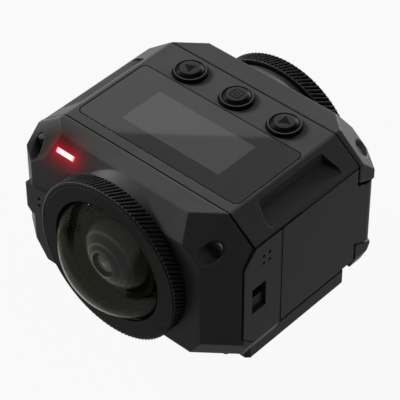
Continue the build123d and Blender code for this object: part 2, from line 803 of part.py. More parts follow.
def lens_side(side, turn):
    """Ring, dome, seal, mount, baffle, cell, lenses and sensor of one side, turned round for the rear."""
    lip_back = ring_front - ring_lip_thickness
    flange_back = lip_back - flange_thickness
    lug_back = mount_front - lug_thickness

    def lug_set(inner, outer, back, front, start):
        with BuildPart() as lugs:
            with BuildSketch(Plane(origin=(0, -back, lens_height), x_dir=(1, 0, 0), z_dir=(0, -1, 0))):
                for index in range(lug_count):
                    with BuildLine():
                        middle_angle = start + index * 360 / lug_count
                        wide = CenterArc((0, 0), outer, middle_angle - lug_angle / 2, lug_angle)
                        narrow = CenterArc((0, 0), inner, middle_angle - lug_angle / 2, lug_angle)
                        Line(wide @ 0, narrow @ 0)
                        Line(wide @ 1, narrow @ 1)
                    make_face()
            extrude(amount=front - back)
        return lugs.part

    lug_entry = without(tube(ring_groove_radius, ring_bore_radius - overrun, ring_back - overrun,
                             ring_back + ring_lug_thickness),
                        lug_set(ring_bore_radius - 2 * overrun, ring_knurl_radius, ring_back - 2 * overrun,
                                ring_back + 2 * ring_lug_thickness, 90))
    with BuildPart() as lens_ring:
        add(turned([(ring_bore_radius, ring_back), (ring_knurl_radius, ring_back),
                    (ring_radius, ring_front - ring_chamfer), (ring_radius - ring_chamfer, ring_front),
                    (ring_opening_radius, ring_front),
                    (ring_opening_radius, lip_back), (ring_bore_radius, lip_back)]))
        add(tube(ring_groove_radius, ring_bore_radius - overrun, ring_back + ring_lug_thickness, flange_back),
            mode=Mode.SUBTRACT)
        add(lug_entry, mode=Mode.SUBTRACT)
        knurl_pitch = 2 * pi * ring_knurl_radius / knurl_count
        with BuildSketch(Plane(origin=(0, -ring_back, lens_height), x_dir=(1, 0, 0), z_dir=(0, -1, 0))):
            with PolarLocations(ring_knurl_radius, knurl_count):
                Rectangle(2 * knurl_depth, knurl_pitch * knurl_width_share)
        extrude(amount=ring_front - ring_chamfer - ring_back, mode=Mode.SUBTRACT)
    ring_piece = lens_ring.part.rotate(Axis.Z, turn)
    with BuildPart() as turned_ring:
        add(ring_piece)
    finish(turned_ring, f"{side}_lens_ring")

    sphere_radius, sphere_centre = dome_profile()
    inner_sphere = sphere_radius - dome_thickness
    inner_edge = (inner_sphere ** 2 - (flange_back - sphere_centre) ** 2) ** 0.5
    outer_edge = (sphere_radius ** 2 - (lip_back - sphere_centre) ** 2) ** 0.5
    with BuildPart() as dome:
        with BuildSketch(lens_plane):
            with BuildLine():
                Line((0, sphere_centre + inner_sphere), (0, dome_apex))
                RadiusArc((0, dome_apex), (outer_edge, lip_back), sphere_radius)
                Polyline((outer_edge, lip_back), (flange_radius, lip_back), (flange_radius, flange_back),
                         (inner_edge, flange_back))
                RadiusArc((inner_edge, flange_back), (0, sphere_centre + inner_sphere), -inner_sphere)
            make_face()
        revolve(axis=lens_axis)
    with BuildPart() as turned_dome:
        add(dome.part.rotate(Axis.Z, turn))
    finish(turned_dome, f"{side}_dome")

    with BuildPart() as dome_seal:
        add(tube(flange_radius, seal_inner_radius, flange_back - seal_height, flange_back).rotate(Axis.Z, turn))
    finish(dome_seal, f"{side}_dome_seal")

    seat_radius = cell_front_radius + fit_gap
    with BuildPart() as lens_mount:
        add(turned([(cell_back_radius + fit_gap, mount_back), (mount_radius, mount_back),
                    (mount_radius, flange_back - seal_height - fit_gap),
                    (mount_bore_radius, flange_back - seal_height - fit_gap),
                    (mount_bore_radius, mount_back + mount_floor),
                    (cell_back_radius + fit_gap, mount_back + mount_floor)]))
        add(lug_set(mount_bore_radius + fit_gap, lug_radius, lug_back, flange_back - seal_height - fit_gap, 90))
    with BuildPart() as turned_mount:
        add(lens_mount.part.rotate(Axis.Z, turn))
    finish(turned_mount, f"{side}_lens_mount")

    cell_front = fisheye_apex - fisheye_sphere_radius + (fisheye_sphere_radius ** 2 - fisheye_radius ** 2) ** 0.5
    fisheye_back = cell_front - fisheye_rim
    with BuildPart() as fisheye:
        with BuildSketch(lens_plane):
            with BuildLine():
                hollow_sphere = 2 * fisheye_hollow_radius
                hollow_rise = hollow_sphere - (hollow_sphere ** 2 - fisheye_hollow_radius ** 2) ** 0.5
                hollow_apex = fisheye_back + hollow_rise
                Line((0, hollow_apex), (0, fisheye_apex))
                RadiusArc((0, fisheye_apex), (fisheye_radius, cell_front), fisheye_sphere_radius)
                Polyline((fisheye_radius, cell_front), (fisheye_radius, fisheye_back),
                         (fisheye_hollow_radius, fisheye_back))
                RadiusArc((fisheye_hollow_radius, fisheye_back), (0, hollow_apex), -hollow_sphere)
            make_face()
        revolve(axis=lens_axis)
    with BuildPart() as turned_fisheye:
        add(fisheye.part.rotate(Axis.Z, turn))
    finish(turned_fisheye, f"{side}_fisheye_lens")

    with BuildPart() as lens_cell:
        add(turned([(inner_lens_radius, cell_back), (cell_back_radius, cell_back), (cell_back_radius, cell_step),
                    (cell_front_radius, cell_step), (cell_front_radius, cell_front), (fisheye_radius, cell_front),
                    (fisheye_radius, fisheye_back), (inner_lens_radius, fisheye_back)]).rotate(Axis.Z, turn))
    finish(lens_cell, f"{side}_lens_cell")

    with BuildPart() as inner_lenses:
        for place in inner_lens_places:
            add(lens_rod(inner_lens_radius, place, place + inner_lens_thickness).rotate(Axis.Z, turn))
    finish(inner_lenses, f"{side}_inner_lenses")

    # Baffle: a shallow stepped cone that hides the space between the lens cell and the mount
    step_rise = (baffle_front - baffle_thickness - cell_step) / baffle_steps
    step_run = (mount_bore_radius - fit_gap - seat_radius) / baffle_steps
    stairs = [(seat_radius, cell_step)]
    for index in range(baffle_steps):
        stairs.append((seat_radius + (index + 1) * step_run, cell_step + index * step_rise))
        stairs.append((seat_radius + (index + 1) * step_run, cell_step + (index + 1) * step_rise))
    upper = [(radius, distance + baffle_thickness) for radius, distance in stairs]
    top_stairs = [(seat_radius, cell_step + baffle_thickness)]
    for index in range(baffle_steps - 1):
        top_stairs.append((seat_radius + (index + 1) * step_run - baffle_thickness,
                           cell_step + index * step_rise + baffle_thickness))
        top_stairs.append((seat_radius + (index + 1) * step_run - baffle_thickness,
                           cell_step + (index + 1) * step_rise + baffle_thickness))
    top_stairs.append((mount_bore_radius - fit_gap - baffle_thickness,
                       cell_step + (baffle_steps - 1) * step_rise + baffle_thickness))
    top_stairs.append((mount_bore_radius - fit_gap - baffle_thickness, upper[-1][1]))
    with BuildPart() as baffle:
        add(turned(stairs + [upper[-1]] + top_stairs[::-1]).rotate(Axis.Z, turn))
    finish(baffle, f"{side}_lens_baffle")


for side, turn in (("front", 0), ("rear", 180)):
    lens_side(side, turn)

# Image sensors back to back, each on its own board
board_front = sensor_board_near + sensor_board_thickness
with BuildPart() as sensor_boards:
    one_board = block((-sensor_board_half, sensor_board_half), (-board_front, -sensor_board_near),
                      (lens_height - sensor_board_half, lens_height + sensor_board_half))
    add(one_board)
    add(one_board.rotate(Axis.Z, 180))
finish(sensor_boards, "sensor_boards")

with BuildPart() as image_sensors:
    one_sensor = block((-sensor_half_width, sensor_half_width), (-board_front - sensor_thickness, -board_front),
                       (lens_height - sensor_half_height, lens_height + sensor_half_height))
    add(one_sensor)
    add(one_sensor.rotate(Axis.Z, 180))
finish(image_sensors, "image_sensors")

# Screws: corner screws along Y into the frame, foot screws up into its lugs, one group per shell
for side, turn in (("front", 0), ("rear", 180)):
    with BuildPart() as shell_screw_group:
        for boss_x, head_depth in shell_screws:
            head = along_y(boss_x, screw_z, head_radius, -head_depth, -head_depth + head_height)
            shank = along_y(boss_x, screw_z, screw_radius, -head_depth, -parting_half_depth + frame_boss_length)
            drive = along_y(boss_x, screw_z, socket_radius, -head_depth - overrun, -head_depth + socket_depth)
            add(head.rotate(Axis.Z, turn))
            add(shank.rotate(Axis.Z, turn))
            add(drive.rotate(Axis.Z, turn), mode=Mode.SUBTRACT)
        for boss_x in foot_screws:
            head = upright(boss_x, -foot_screw_depth, head_radius, belly_height, belly_height + head_height)
            shank = upright(boss_x, -foot_screw_depth, screw_radius, belly_height,
                            belly_height + 2 * case_wall + foot_lug_thickness)
            drive = upright(boss_x, -foot_screw_depth, socket_radius, 0, belly_height + socket_depth)
            add(head.rotate(Axis.Z, turn))
            add(shank.rotate(Axis.Z, turn))
            add(drive.rotate(Axis.Z, turn), mode=Mode.SUBTRACT)
    finish(shell_screw_group, f"{side}_shell_screws")

# Status lamp: light pipe flush with the front slope and its small board behind
with BuildPart() as lamp_light_pipe:
    with BuildSketch(slope_plane):
        with Locations((lamp_place.X, lamp_place.Y)):
            Rectangle(lamp_length - fit_gap, lamp_width - fit_gap)
    extrude(amount=-lamp_depth)
finish(lamp_light_pipe, "lamp_light_pipe")

with BuildPart() as lamp_board:
    with BuildSketch(slope_plane.offset(-lamp_depth)):
        with Locations((lamp_place.X, lamp_place.Y)):
            Rectangle(lamp_length + 2 * lamp_width, 3 * lamp_width)
    extrude(amount=-lamp_board_thickness)
finish(lamp_board, "lamp_board")

with BuildPart() as microphones:
    add(along_y(-front_mic_x, front_mic_z, mic_radius, -face_half_depth + case_wall,
                -face_half_depth + case_wall + mic_thickness))
    with BuildSketch(Plane.YZ.offset(panel_inner + overrun)):
        with Locations((-side_mic_depth, side_mic_z)):
            Circle(mic_radius)
    extrude(amount=mic_thickness)
finish(microphones, "microphones")

# Battery door: plate with a knuckle at the strong rear corner, chamfered inside at its upper and lower rear edges
door_front = -door_seam_depth + seam_gap
door_foot = panel_foot_height + seam_gap
door_head = shoulder_height - seam_gap
door_back = panel_shoulder_half_depth - seam_gap
ears = ((0, tongue_low_height + seam_gap), (tongue_high_height - seam_gap, deck_height))
with BuildPart() as ear_wedges:
    for ear_low, ear_high in ears:
        with BuildSketch(Plane.XY.offset(ear_low)):
            with BuildLine():
                Polyline((door_inner - overrun, door_back - door_edge_chamfer),
                         (door_inner, door_back - door_edge_chamfer), (side_half_width, door_back),
                         (side_half_width, door_back + overrun), (door_inner - overrun, door_back + overrun),
                         close=True)
            make_face()
        extrude(amount=ear_high - ear_low)
with BuildPart() as battery_door:
    plate_points = [(door_front, door_foot), (door_back, door_foot), (door_back, tongue_low_height + 2 * seam_gap),
                    (hinge_y, knuckle_low), (hinge_y, knuckle_high),
                    (door_back, tongue_high_height - 2 * seam_gap), (door_back, door_head), (door_front, door_head)]
    add(side_outline(plate_points, door_inner, side_half_width))
    add(upright(hinge_x, hinge_y, knuckle_radius, knuckle_low, knuckle_high))
    add(outline, mode=Mode.INTERSECT)
    add(ear_wedges.part, mode=Mode.SUBTRACT)
    sweep_radius = knuckle_radius + 2 * knuckle_gap
    add(upright(hinge_x, hinge_y, sweep_radius, 0, knuckle_low), mode=Mode.SUBTRACT)
    add(upright(hinge_x, hinge_y, sweep_radius, knuckle_high, deck_height), mode=Mode.SUBTRACT)
    add(upright(hinge_x, hinge_y, pin_radius + pin_fit, 0, deck_height), mode=Mode.SUBTRACT)
    # Catch for the latch pin
    tab_back = -bay_opening_half_depth - seal_width - fit_gap
    tab_front = tab_back - latch_tab_width
    add(block((panel_inner + fit_gap, door_inner), (tab_front, tab_back),
              (latch_tab_low, latch_tab_low + latch_tab_height)))
    pin_x = panel_inner + fit_gap + latch_plate_thickness / 2 + fit_gap
    pin_y = (tab_front + tab_back) / 2
    eye = latch_pin_size / 2 + fit_gap
    add(block((pin_x - eye, pin_x + eye), (pin_y - eye, pin_y + eye), (0, deck_height)), mode=Mode.SUBTRACT)
finish(battery_door, "battery_door")

with BuildPart() as door_seal:
    seal_y = (-bay_opening_half_depth - seal_width + fit_gap, port_opening_depth + seal_width)
    seal_z = (opening_low - seal_width, opening_high + seal_width)
    add(block((door_inner - seal_thickness, door_inner), seal_y, seal_z))
    add(block((0, side_half_width), (seal_y[0] + seal_width, seal_y[1] - seal_width),
              (seal_z[0] + seal_width, seal_z[1] - seal_width)), mode=Mode.SUBTRACT)
finish(door_seal, "door_seal")

with BuildPart() as door_hinge_pin:
    add(upright(hinge_x, hinge_y, pin_radius, knuckle_low - pin_reach, knuckle_high + pin_reach))
finish(door_hinge_pin, "door_hinge_pin")

# Door latch: thumb piece in the slot, plate behind the panel, arm with a pin that rises into the catch
latch_low = slot_low + fit_gap
plate_back = panel_inner + fit_gap
plate_front = plate_back + latch_plate_thickness
with BuildPart() as door_latch:
    add(block((plate_front, side_half_width - case_wall / 2), (-slot_near_depth + fit_gap, -slot_far_depth - fit_gap),
              (latch_low, latch_low + latch_height)))
    add(block((plate_back, plate_front), (-slot_near_depth + fit_gap, -slot_far_depth - fit_gap),
              (latch_low - overrun, latch_low + latch_height)))
    arm_low = latch_tab_low - latch_travel - 2 * latch_pin_size
    add(block((plate_back, plate_front), (-slot_near_depth + fit_gap, tab_back), (arm_low, arm_low + latch_pin_size)))
    add(block((plate_back, plate_front), (-slot_near_depth + fit_gap, -slot_far_depth - fit_gap),
              (arm_low, latch_low)))
    pin_half = latch_pin_size / 2
    add(block((pin_x - pin_half, pin_x + pin_half), (pin_y - pin_half, pin_y + pin_half),
              (arm_low, latch_tab_low - fit_gap)))
finish(door_latch, "door_latch")

with BuildPart() as latch_detent_spring:
    add(block((panel_inner - spring_thickness, panel_inner), (-slot_near_depth, -slot_far_depth),
              (latch_pocket_low - overrun, latch_pocket_high + overrun)))
finish(latch_detent_spring, "latch_detent_spring")

# Record slider outside the wall opposite the door, its carrier inside and the sensor that reads it
slider_inner = side_half_width + slider_lift
slider_outer = side_half_width + slider_proud
with BuildPart() as record_slider:
    add(block((-slider_outer, -slider_inner), (slider_y - slider_length / 2, slider_y + slider_length / 2),
              (slider_z - slider_height / 2, slider_z + slider_height / 2)))
    chamfer(record_slider.faces().sort_by(Axis.X)[0].edges(), length=slider_chamfer)
    rib_pitch = slider_length / (slider_rib_count + 2)
    for index in range(slider_rib_count - 1):
        groove_y = slider_y + (index - (slider_rib_count - 2) / 2) * rib_pitch
        add(block((-slider_outer, -slider_outer + slider_rib_depth),
                  (groove_y - rib_pitch / 4, groove_y + rib_pitch / 4),
                  (slider_z - slider_height / 2 + slider_chamfer, slider_z + slider_height / 2 - slider_chamfer)),
            mode=Mode.SUBTRACT)
    add(block((-slider_inner, -panel_inner + fit_gap),
              (slider_y - slider_stem_length / 2, slider_y + slider_stem_length / 2),
              (slider_z - slider_stem_height / 2, slider_z + slider_stem_height / 2)))
finish(record_slider, "record_slider")

with BuildPart() as slider_carrier:
    carrier_outer = panel_inner - fit_gap
    add(block((-carrier_outer, -carrier_outer + slider_carrier_thickness),
              (slider_y - slider_carrier_length / 2, slider_y + slider_carrier_length / 2),
              (slider_z - slider_carrier_height / 2, slider_z + slider_carrier_height / 2)))
finish(slider_carrier, "slider_carrier")

# Electronics in the frame: battery bay across the middle, boards on both sides of it
with BuildPart() as battery_bay:
    add(block((-bay_left, panel_inner), (-bay_half_depth, bay_half_depth),
              (opening_low - bay_wall, opening_high + bay_wall)))
    add(block((-bay_left + bay_wall, panel_inner + overrun), (-bay_half_depth + bay_wall, bay_half_depth - bay_wall),
              (opening_low, opening_high)), mode=Mode.SUBTRACT)
    add(block((-bay_left - overrun, 0), (-contact_pitch * contact_count / 2, contact_pitch * contact_count / 2),
              (lens_height - contact_width, lens_height + contact_width)), mode=Mode.SUBTRACT)
finish(battery_bay, "battery_bay")

with BuildPart() as battery:
    add(block((-bay_left + bay_wall + contact_width / 2, battery_right),
              (-bay_half_depth + bay_wall + battery_gap, bay_half_depth - bay_wall - battery_gap),
              (opening_low + battery_gap, opening_high - battery_gap)))
    fillet(battery.edges().filter_by(Axis.X), radius=bay_wall)
finish(battery, "battery")

with BuildPart() as battery_contacts:
    for index in range(contact_count):
        contact_y = (index - (contact_count - 1) / 2) * contact_pitch
        add(block((-main_board_x + board_thickness / 2 + main_chip_height, -bay_left + bay_wall + contact_width / 2),
                  (contact_y - contact_width / 2, contact_y + contact_width / 2),
                  (lens_height - contact_width / 2, lens_height + contact_width / 2)))
finish(battery_contacts, "battery_contacts")

with BuildPart() as main_board:
    add(block((-main_board_x - board_thickness / 2, -main_board_x + board_thickness / 2),
              (-main_board_half_depth, main_board_half_depth), (main_board_low, main_board_high)))
    add(block((-main_board_x + board_thickness / 2, -main_board_x + board_thickness / 2 + main_chip_height),
              (-main_chip_half, main_chip_half), (lens_height - main_chip_half, lens_height + main_chip_half)))
    add(block((-main_board_x - board_thickness / 2 - main_chip_height, -main_board_x - board_thickness / 2),
              (-main_chip_half, main_chip_half), (lens_height + slider_carrier_height / 2 + overrun,
                                                  main_board_high - overrun)))
finish(main_board, "main_board")

with BuildPart() as heat_spreader:
    add(block((-spreader_x, -main_board_x - board_thickness / 2 - main_chip_height),
              (-spreader_half_depth, spreader_half_depth),
              (lens_height + slider_carrier_height / 2 + overrun, spreader_high)))
finish(heat_spreader, "heat_spreader")

with BuildPart() as slider_sensor:
    sensor_y = slider_y - slider_travel
    add(block((-main_board_x - board_thickness / 2 - slider_sensor_thickness, -main_board_x - board_thickness / 2),
              (sensor_y - slider_sensor_half, sensor_y + slider_sensor_half),
              (slider_z - slider_sensor_half, slider_z + slider_sensor_half)))
finish(slider_sensor, "slider_sensor")

io_near = bay_half_depth + battery_gap
io_face = io_near + board_thickness
with BuildPart() as io_board:
    second_row = io_face + usb_depth + hdmi_gap
    add(block((io_board_left, panel_inner - fit_gap), (io_near, io_face), (io_board_low, io_board_high)))
    add(block((panel_inner - usb_length, panel_inner - fit_gap), (io_face, second_row + usb_depth),
              (usb_low - board_thickness, usb_low)))
finish(io_board, "io_board")

with BuildPart() as card_socket:
    socket_left = card_socket_right - card_socket_length
    add(block((socket_left, card_socket_right), (io_face, io_face + card_socket_thickness),
              (card_low - socket_wall, card_low + card_width + socket_wall)))
    add(block((socket_left + socket_wall, side_half_width),
              (io_face + socket_wall, io_face + card_socket_thickness - socket_wall),
              (card_low, card_low + card_width)), mode=Mode.SUBTRACT)
finish(card_socket, "card_socket")

with BuildPart() as memory_card:
    card_y = io_face + card_socket_thickness / 2
    add(block((card_right - card_length, card_right), (card_y - card_thickness / 2, card_y + card_thickness / 2),
              (card_low + fit_gap, card_low + card_width - fit_gap)))
finish(memory_card, "memory_card")


def port(low, tongue_share):
    """Metal socket shell open towards the door, with a contact tongue."""
    with BuildPart() as socket:
        add(block((panel_inner - usb_length, panel_inner), (io_face, io_face + usb_depth), (low, low + usb_height)))
        add(block((panel_inner - usb_length + socket_wall, side_half_width),
                  (io_face + socket_wall, io_face + usb_depth - socket_wall),
                  (low + socket_wall, low + usb_height - socket_wall)), mode=Mode.SUBTRACT)
        tongue_half = usb_depth * tongue_share / 2
        add(block((panel_inner - usb_length, panel_inner - socket_wall),
                  (io_face + usb_depth / 2 - tongue_half, io_face + usb_depth / 2 + tongue_half),
                  (low + 2 * socket_wall, low + usb_height - 2 * socket_wall)))
    return socket


usb_tongue_share = 0.25
hdmi_tongue_share = 0.4
finish(port(usb_low, usb_tongue_share), "usb_socket")

with BuildPart() as hdmi_socket:
    add(port(usb_low, hdmi_tongue_share).part.translate((0, second_row - io_face, 0)))
finish(hdmi_socket, "hdmi_socket")

with BuildPart() as antenna:
    add(block((antenna_left, antenna_right), (-antenna_front, -antenna_back),
              (deck_under - antenna_thickness, deck_under)))
finish(antenna, "antenna")

# Mount base under the frame, with the tripod bushing, contact pads and its screws
with BuildPart() as mount_base:
    add(block((-base_half_width, base_half_width), (-base_front, base_back), (0, belly_height)))
    chamfer(mount_base.edges().filter_by(Axis.Z), length=base_corner)
    chamfer(mount_base.faces().sort_by(Axis.Z)[0].edges(), length=base_edge_chamfer)
    add(upright(0, 0, bushing_radius + fit_gap, -overrun, belly_height + overrun), mode=Mode.SUBTRACT)
    for boss_x in (-base_screw_x, base_screw_x):
        for boss_y in (-base_screw_y, base_screw_y):
            add(upright(boss_x, boss_y, screw_radius + screw_fit, -overrun, belly_height + overrun),
                mode=Mode.SUBTRACT)
            add(upright(boss_x, boss_y, head_radius + fit_gap, -overrun, head_height + pad_depth),
                mode=Mode.SUBTRACT)
    for index in range(pad_count):
        pad_x = (index - (pad_count - 1) / 2) * pad_pitch
        add(upright(pad_x, pad_y, pad_radius + fit_gap, -overrun, pad_depth), mode=Mode.SUBTRACT)
finish(mount_base, "mount_base")

with BuildPart() as tripod_bushing:
    add(upright(0, 0, bushing_radius, 0, bushing_top))
    add(upright(0, 0, bushing_bore_radius, -overrun, bushing_depth), mode=Mode.SUBTRACT)
finish(tripod_bushing, "tripod_bushing")

with BuildPart() as contact_pads:
    for index in range(pad_count):
        pad_x = (index - (pad_count - 1) / 2) * pad_pitch
        add(upright(pad_x, pad_y, pad_radius, fit_gap, pad_depth))
finish(contact_pads, "contact_pads")

with BuildPart() as base_screws:
    for boss_x in (-base_screw_x, base_screw_x):
        for boss_y in (-base_screw_y, base_screw_y):
            add(upright(boss_x, boss_y, head_radius, pad_depth, pad_depth + head_height))
            add(upright(boss_x, boss_y, screw_radius, pad_depth, base_screw_length))
            add(upright(boss_x, boss_y, socket_radius, 0, pad_depth + socket_depth), mode=Mode.SUBTRACT)
finish(base_screws, "base_screws")
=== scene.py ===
import math

import bmesh
import bpy
from mathutils import Matrix, Vector


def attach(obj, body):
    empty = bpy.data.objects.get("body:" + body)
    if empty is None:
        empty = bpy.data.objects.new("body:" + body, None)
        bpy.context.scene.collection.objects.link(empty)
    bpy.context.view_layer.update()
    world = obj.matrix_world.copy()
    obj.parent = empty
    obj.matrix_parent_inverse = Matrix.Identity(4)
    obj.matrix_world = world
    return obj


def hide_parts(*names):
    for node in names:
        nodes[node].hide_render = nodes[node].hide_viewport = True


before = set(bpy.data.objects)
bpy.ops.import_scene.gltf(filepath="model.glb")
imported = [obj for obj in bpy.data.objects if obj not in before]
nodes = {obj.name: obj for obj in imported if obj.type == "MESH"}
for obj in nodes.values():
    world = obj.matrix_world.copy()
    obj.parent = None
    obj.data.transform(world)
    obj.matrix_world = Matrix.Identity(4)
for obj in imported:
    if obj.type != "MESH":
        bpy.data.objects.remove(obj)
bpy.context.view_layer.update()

# Studio. A pale table under the camera, a paper-white room round it, soft lamps high on the left and low behind,
# weak ones on the right, a small black flag by the front left corner, and a black card that the window mirrors.
scene = bpy.context.scene
scene.view_settings.view_transform = "Standard"

eye = Vector((0.21548, -0.23706, 0.30819))
across = Vector((0.74173, 0.67070, -0.00259))
upward = Vector((-0.44978, 0.50027, 0.73989))
forward = Vector((-0.49754, 0.54763, -0.67273))
viewer = bpy.data.objects.new("viewer", bpy.data.cameras.new("viewer"))
viewer.matrix_world = Matrix((
    (across.x, upward.x, -forward.x, eye.x),
    (across.y, upward.y, -forward.y, eye.y),
    (across.z, upward.z, -forward.z, eye.z),
    (0, 0, 0, 1)))
viewer.data.lens = 187.57
viewer.data.sensor_width = 36
viewer.data.clip_start = 0.01
viewer.data.clip_end = 20
scene.collection.objects.link(viewer)
scene.camera = viewer


class Reading:
    """One value that varies over a surface, as the output of a shader node; arithmetic on it adds Math nodes."""

    def __init__(self, finish, socket):
        self.finish, self.socket = finish, socket

    def maths(self, operation, *others):
        values = dict(enumerate((self,) + others))
        return self.finish.node("ShaderNodeMath", {"operation": operation}, values)

    def __add__(self, other):
        return self.maths("ADD", other)

    def __sub__(self, other):
        return self.maths("SUBTRACT", other)

    def __mul__(self, other):
        return self.maths("MULTIPLY", other)

    def __rsub__(self, other):
        return self.finish.node("ShaderNodeMath", {"operation": "SUBTRACT"}, {0: other, 1: self})

    def __pow__(self, other):
        return self.maths("POWER", other)

    def __abs__(self):
        return self.maths("ABSOLUTE")

    def step(self, start, end):
        """0 below start, 1 above end, smooth between them; a start above the end turns it round."""
        low, high, first, last = (start, end, 0.0, 1.0) if start < end else (end, start, 1.0, 0.0)
        return self.finish.node("ShaderNodeMapRange", {"interpolation_type": "SMOOTHSTEP"},
                                {0: self, 1: low, 2: high, 3: first, 4: last})

    def most(self, other):
        return self.maths("MAXIMUM", other)


class Finish:
    """A material, or the world, built from nodes by type, settings and socket values."""

    def __init__(self, name, kind="materials"):
        self.material = getattr(bpy.data, kind).new(name)
        self.material.use_nodes = True
        self.tree = self.material.node_tree
        self.tree.nodes.clear()

    def node(self, kind, settings=None, values=None, output=0):
        made = self.tree.nodes.new(kind)
        for key, value in (settings or {}).items():
            setattr(made, key, value)
        for key, value in (values or {}).items():
            if isinstance(value, Reading):
                self.tree.links.new(value.socket, made.inputs[key])
            else:
                made.inputs[key].default_value = value
        return Reading(self, made.outputs[output]) if made.outputs else None

    def other(self, reading, output):
        """Another output of the node that a reading comes from."""
        return Reading(self, reading.socket.node.outputs[output])

    def place(self, scale=1000.0):
        """Where a point is on the object, in metres times the scale."""
        metres = self.node("ShaderNodeTexCoord", output="Object")
        return self.node("ShaderNodeVectorMath", {"operation": "SCALE"}, {0: metres, "Scale": scale})

    def axes(self, place):
        """The x, y and z of a place."""
        x = self.node("ShaderNodeSeparateXYZ", values={0: place})
        return x, self.other(x, 1), self.other(x, 2)

    def blend(self, share, first, second):
        return self.node("ShaderNodeMix", {"data_type": "RGBA"}, {0: share, 6: first, 7: second}, output=2)

    def surface(self, shader):
        self.node("ShaderNodeOutputMaterial", values={"Surface": shader})
        return self.material


def shade(level, warm=0.0):
    """A grey of a given level, neutral or a little warm."""
    return (level * (1 + warm), level, level * (1 - warm), 1.0)


def seen_directly(finish):
    """1 where the room is seen by the camera, in a gloss or through glass."""
    path = finish.node("ShaderNodeLightPath", output="Is Camera Ray")
    gloss = finish.other(path, "Is Glossy Ray")
    through = finish.other(path, "Is Transmission Ray")
    return path.most(gloss).most(through)


room = Finish("paper_room", "worlds")
room_paper = room.node("ShaderNodeBackground", values={0: shade(1.0), 1: 0.95})
room_air = room.node("ShaderNodeBackground", values={0: shade(1.0), 1: 0.05})
room_mix = room.node("ShaderNodeMixShader", values={0: seen_directly(room), 1: room_air, 2: room_paper})
room.node("ShaderNodeOutputWorld", values={"Surface": room_mix})
scene.world = room.material


def sheet(name, corners, finish, unseen=()):
    """A flat sheet of the studio, left out for the named kinds of ray."""
    mesh = bpy.data.meshes.new(name)
    mesh.from_pydata(corners, [], [(0, 1, 2, 3)])
    mesh.materials.append(finish.material)
    made = bpy.data.objects.new(name, mesh)
    scene.collection.objects.link(made)
    for ray in unseen:
        setattr(made, "visible_" + ray, False)
    return made


table_finish = Finish("table_paper")
table_fibre = table_finish.node("ShaderNodeTexNoise", values={
    "Vector": table_finish.place(20.0), "Scale": 14.0, "Detail": 3.0})
table_matte = table_finish.node("ShaderNodeBsdfDiffuse", values={
    0: table_finish.blend(table_fibre, shade(0.11), shade(0.13)), 1: 0.6})
table_glow = table_finish.node("ShaderNodeEmission", values={0: shade(1.0), 1: 1.0})
table_share = seen_directly(table_finish) * 0.94
table_finish.surface(table_finish.node("ShaderNodeMixShader", values={0: table_share, 1: table_matte, 2: table_glow}))
table_reach = 6.0
table = sheet("table", [(-table_reach, -table_reach, 0), (table_reach, -table_reach, 0),
                        (table_reach, table_reach, 0), (-table_reach, table_reach, 0)], table_finish)

card_finish = Finish("black_card")
card_weave = card_finish.node("ShaderNodeTexNoise", values={"Vector": card_finish.place(20.0), "Scale": 30.0})
card_finish.surface(card_finish.node("ShaderNodeBsdfDiffuse", values={
    0: card_finish.blend(card_weave, shade(0.25), shade(0.30))}))
card = sheet("window_card", [(-0.52, 0.27, 0.5), (-0.02, 0.675, 0.5), (0.02, 0.40, 0.5), (-0.25, 0.10, 0.5)],
             card_finish, ("camera", "diffuse", "shadow", "transmission"))

left_lamp_way = Vector((-0.86, -0.12, 0.50))
flag_way = left_lamp_way.normalized()
flag_up = flag_way.cross(Vector((0, -1, 0))).normalized()
flag_reach, flag_front, flag_back, flag_bottom, flag_top = 0.052, -0.0275, -0.0200, 0.0085, 0.0265
flag_corners = []
for flag_y, flag_rise in ((flag_front, flag_bottom), (flag_back, flag_bottom), (flag_back, flag_top),
                          (flag_front, flag_top)):
    corner = flag_up * flag_rise + flag_way * flag_reach
    flag_corners.append((corner.x, flag_y, corner.z))
flag = sheet("corner_flag", flag_corners, card_finish, ("camera", "diffuse", "glossy", "transmission"))

lamp_aims = (
    ("left_lamp", left_lamp_way, 1.0, 0.30, 18.5),
    ("rear_lamp", (-0.12, 0.97, 0.14), 1.0, 0.40, 14.0),
    ("top_right_lamp", (0.50, 0.10, 0.86), 1.0, 0.40, 1.7),
    ("right_lamp", (0.83, 0.55, 0.16), 0.60, 0.25, 0.04),
)
for lamp_name, lamp_way, lamp_reach, lamp_size, lamp_power in lamp_aims:
    lamp_data = bpy.data.lights.new(lamp_name, "AREA")
    lamp_data.shape = "SQUARE"
    lamp_data.size = lamp_size
    lamp_data.energy = lamp_power
    lamp = bpy.data.objects.new(lamp_name, lamp_data)
    way = Vector(lamp_way).normalized()
    lamp.location = way * lamp_reach + Vector((0, 0, 0.02))
    lamp.rotation_mode = "QUATERNION"
    lamp.rotation_quaternion = way.to_track_quat("Z", "Y")
    scene.collection.objects.link(lamp)


# Case mouldings. Front and rear shells and the top cover are the same dark grey filled nylon, moulded with a
# fine spark texture; edges are slightly rounded, with a painted highlight along them. The front slope has a painted
# red glow round its lamp.
lamp_x, lamp_y, lamp_z, lamp_half_length = -15.6, -22.7, 35.1, 2.1


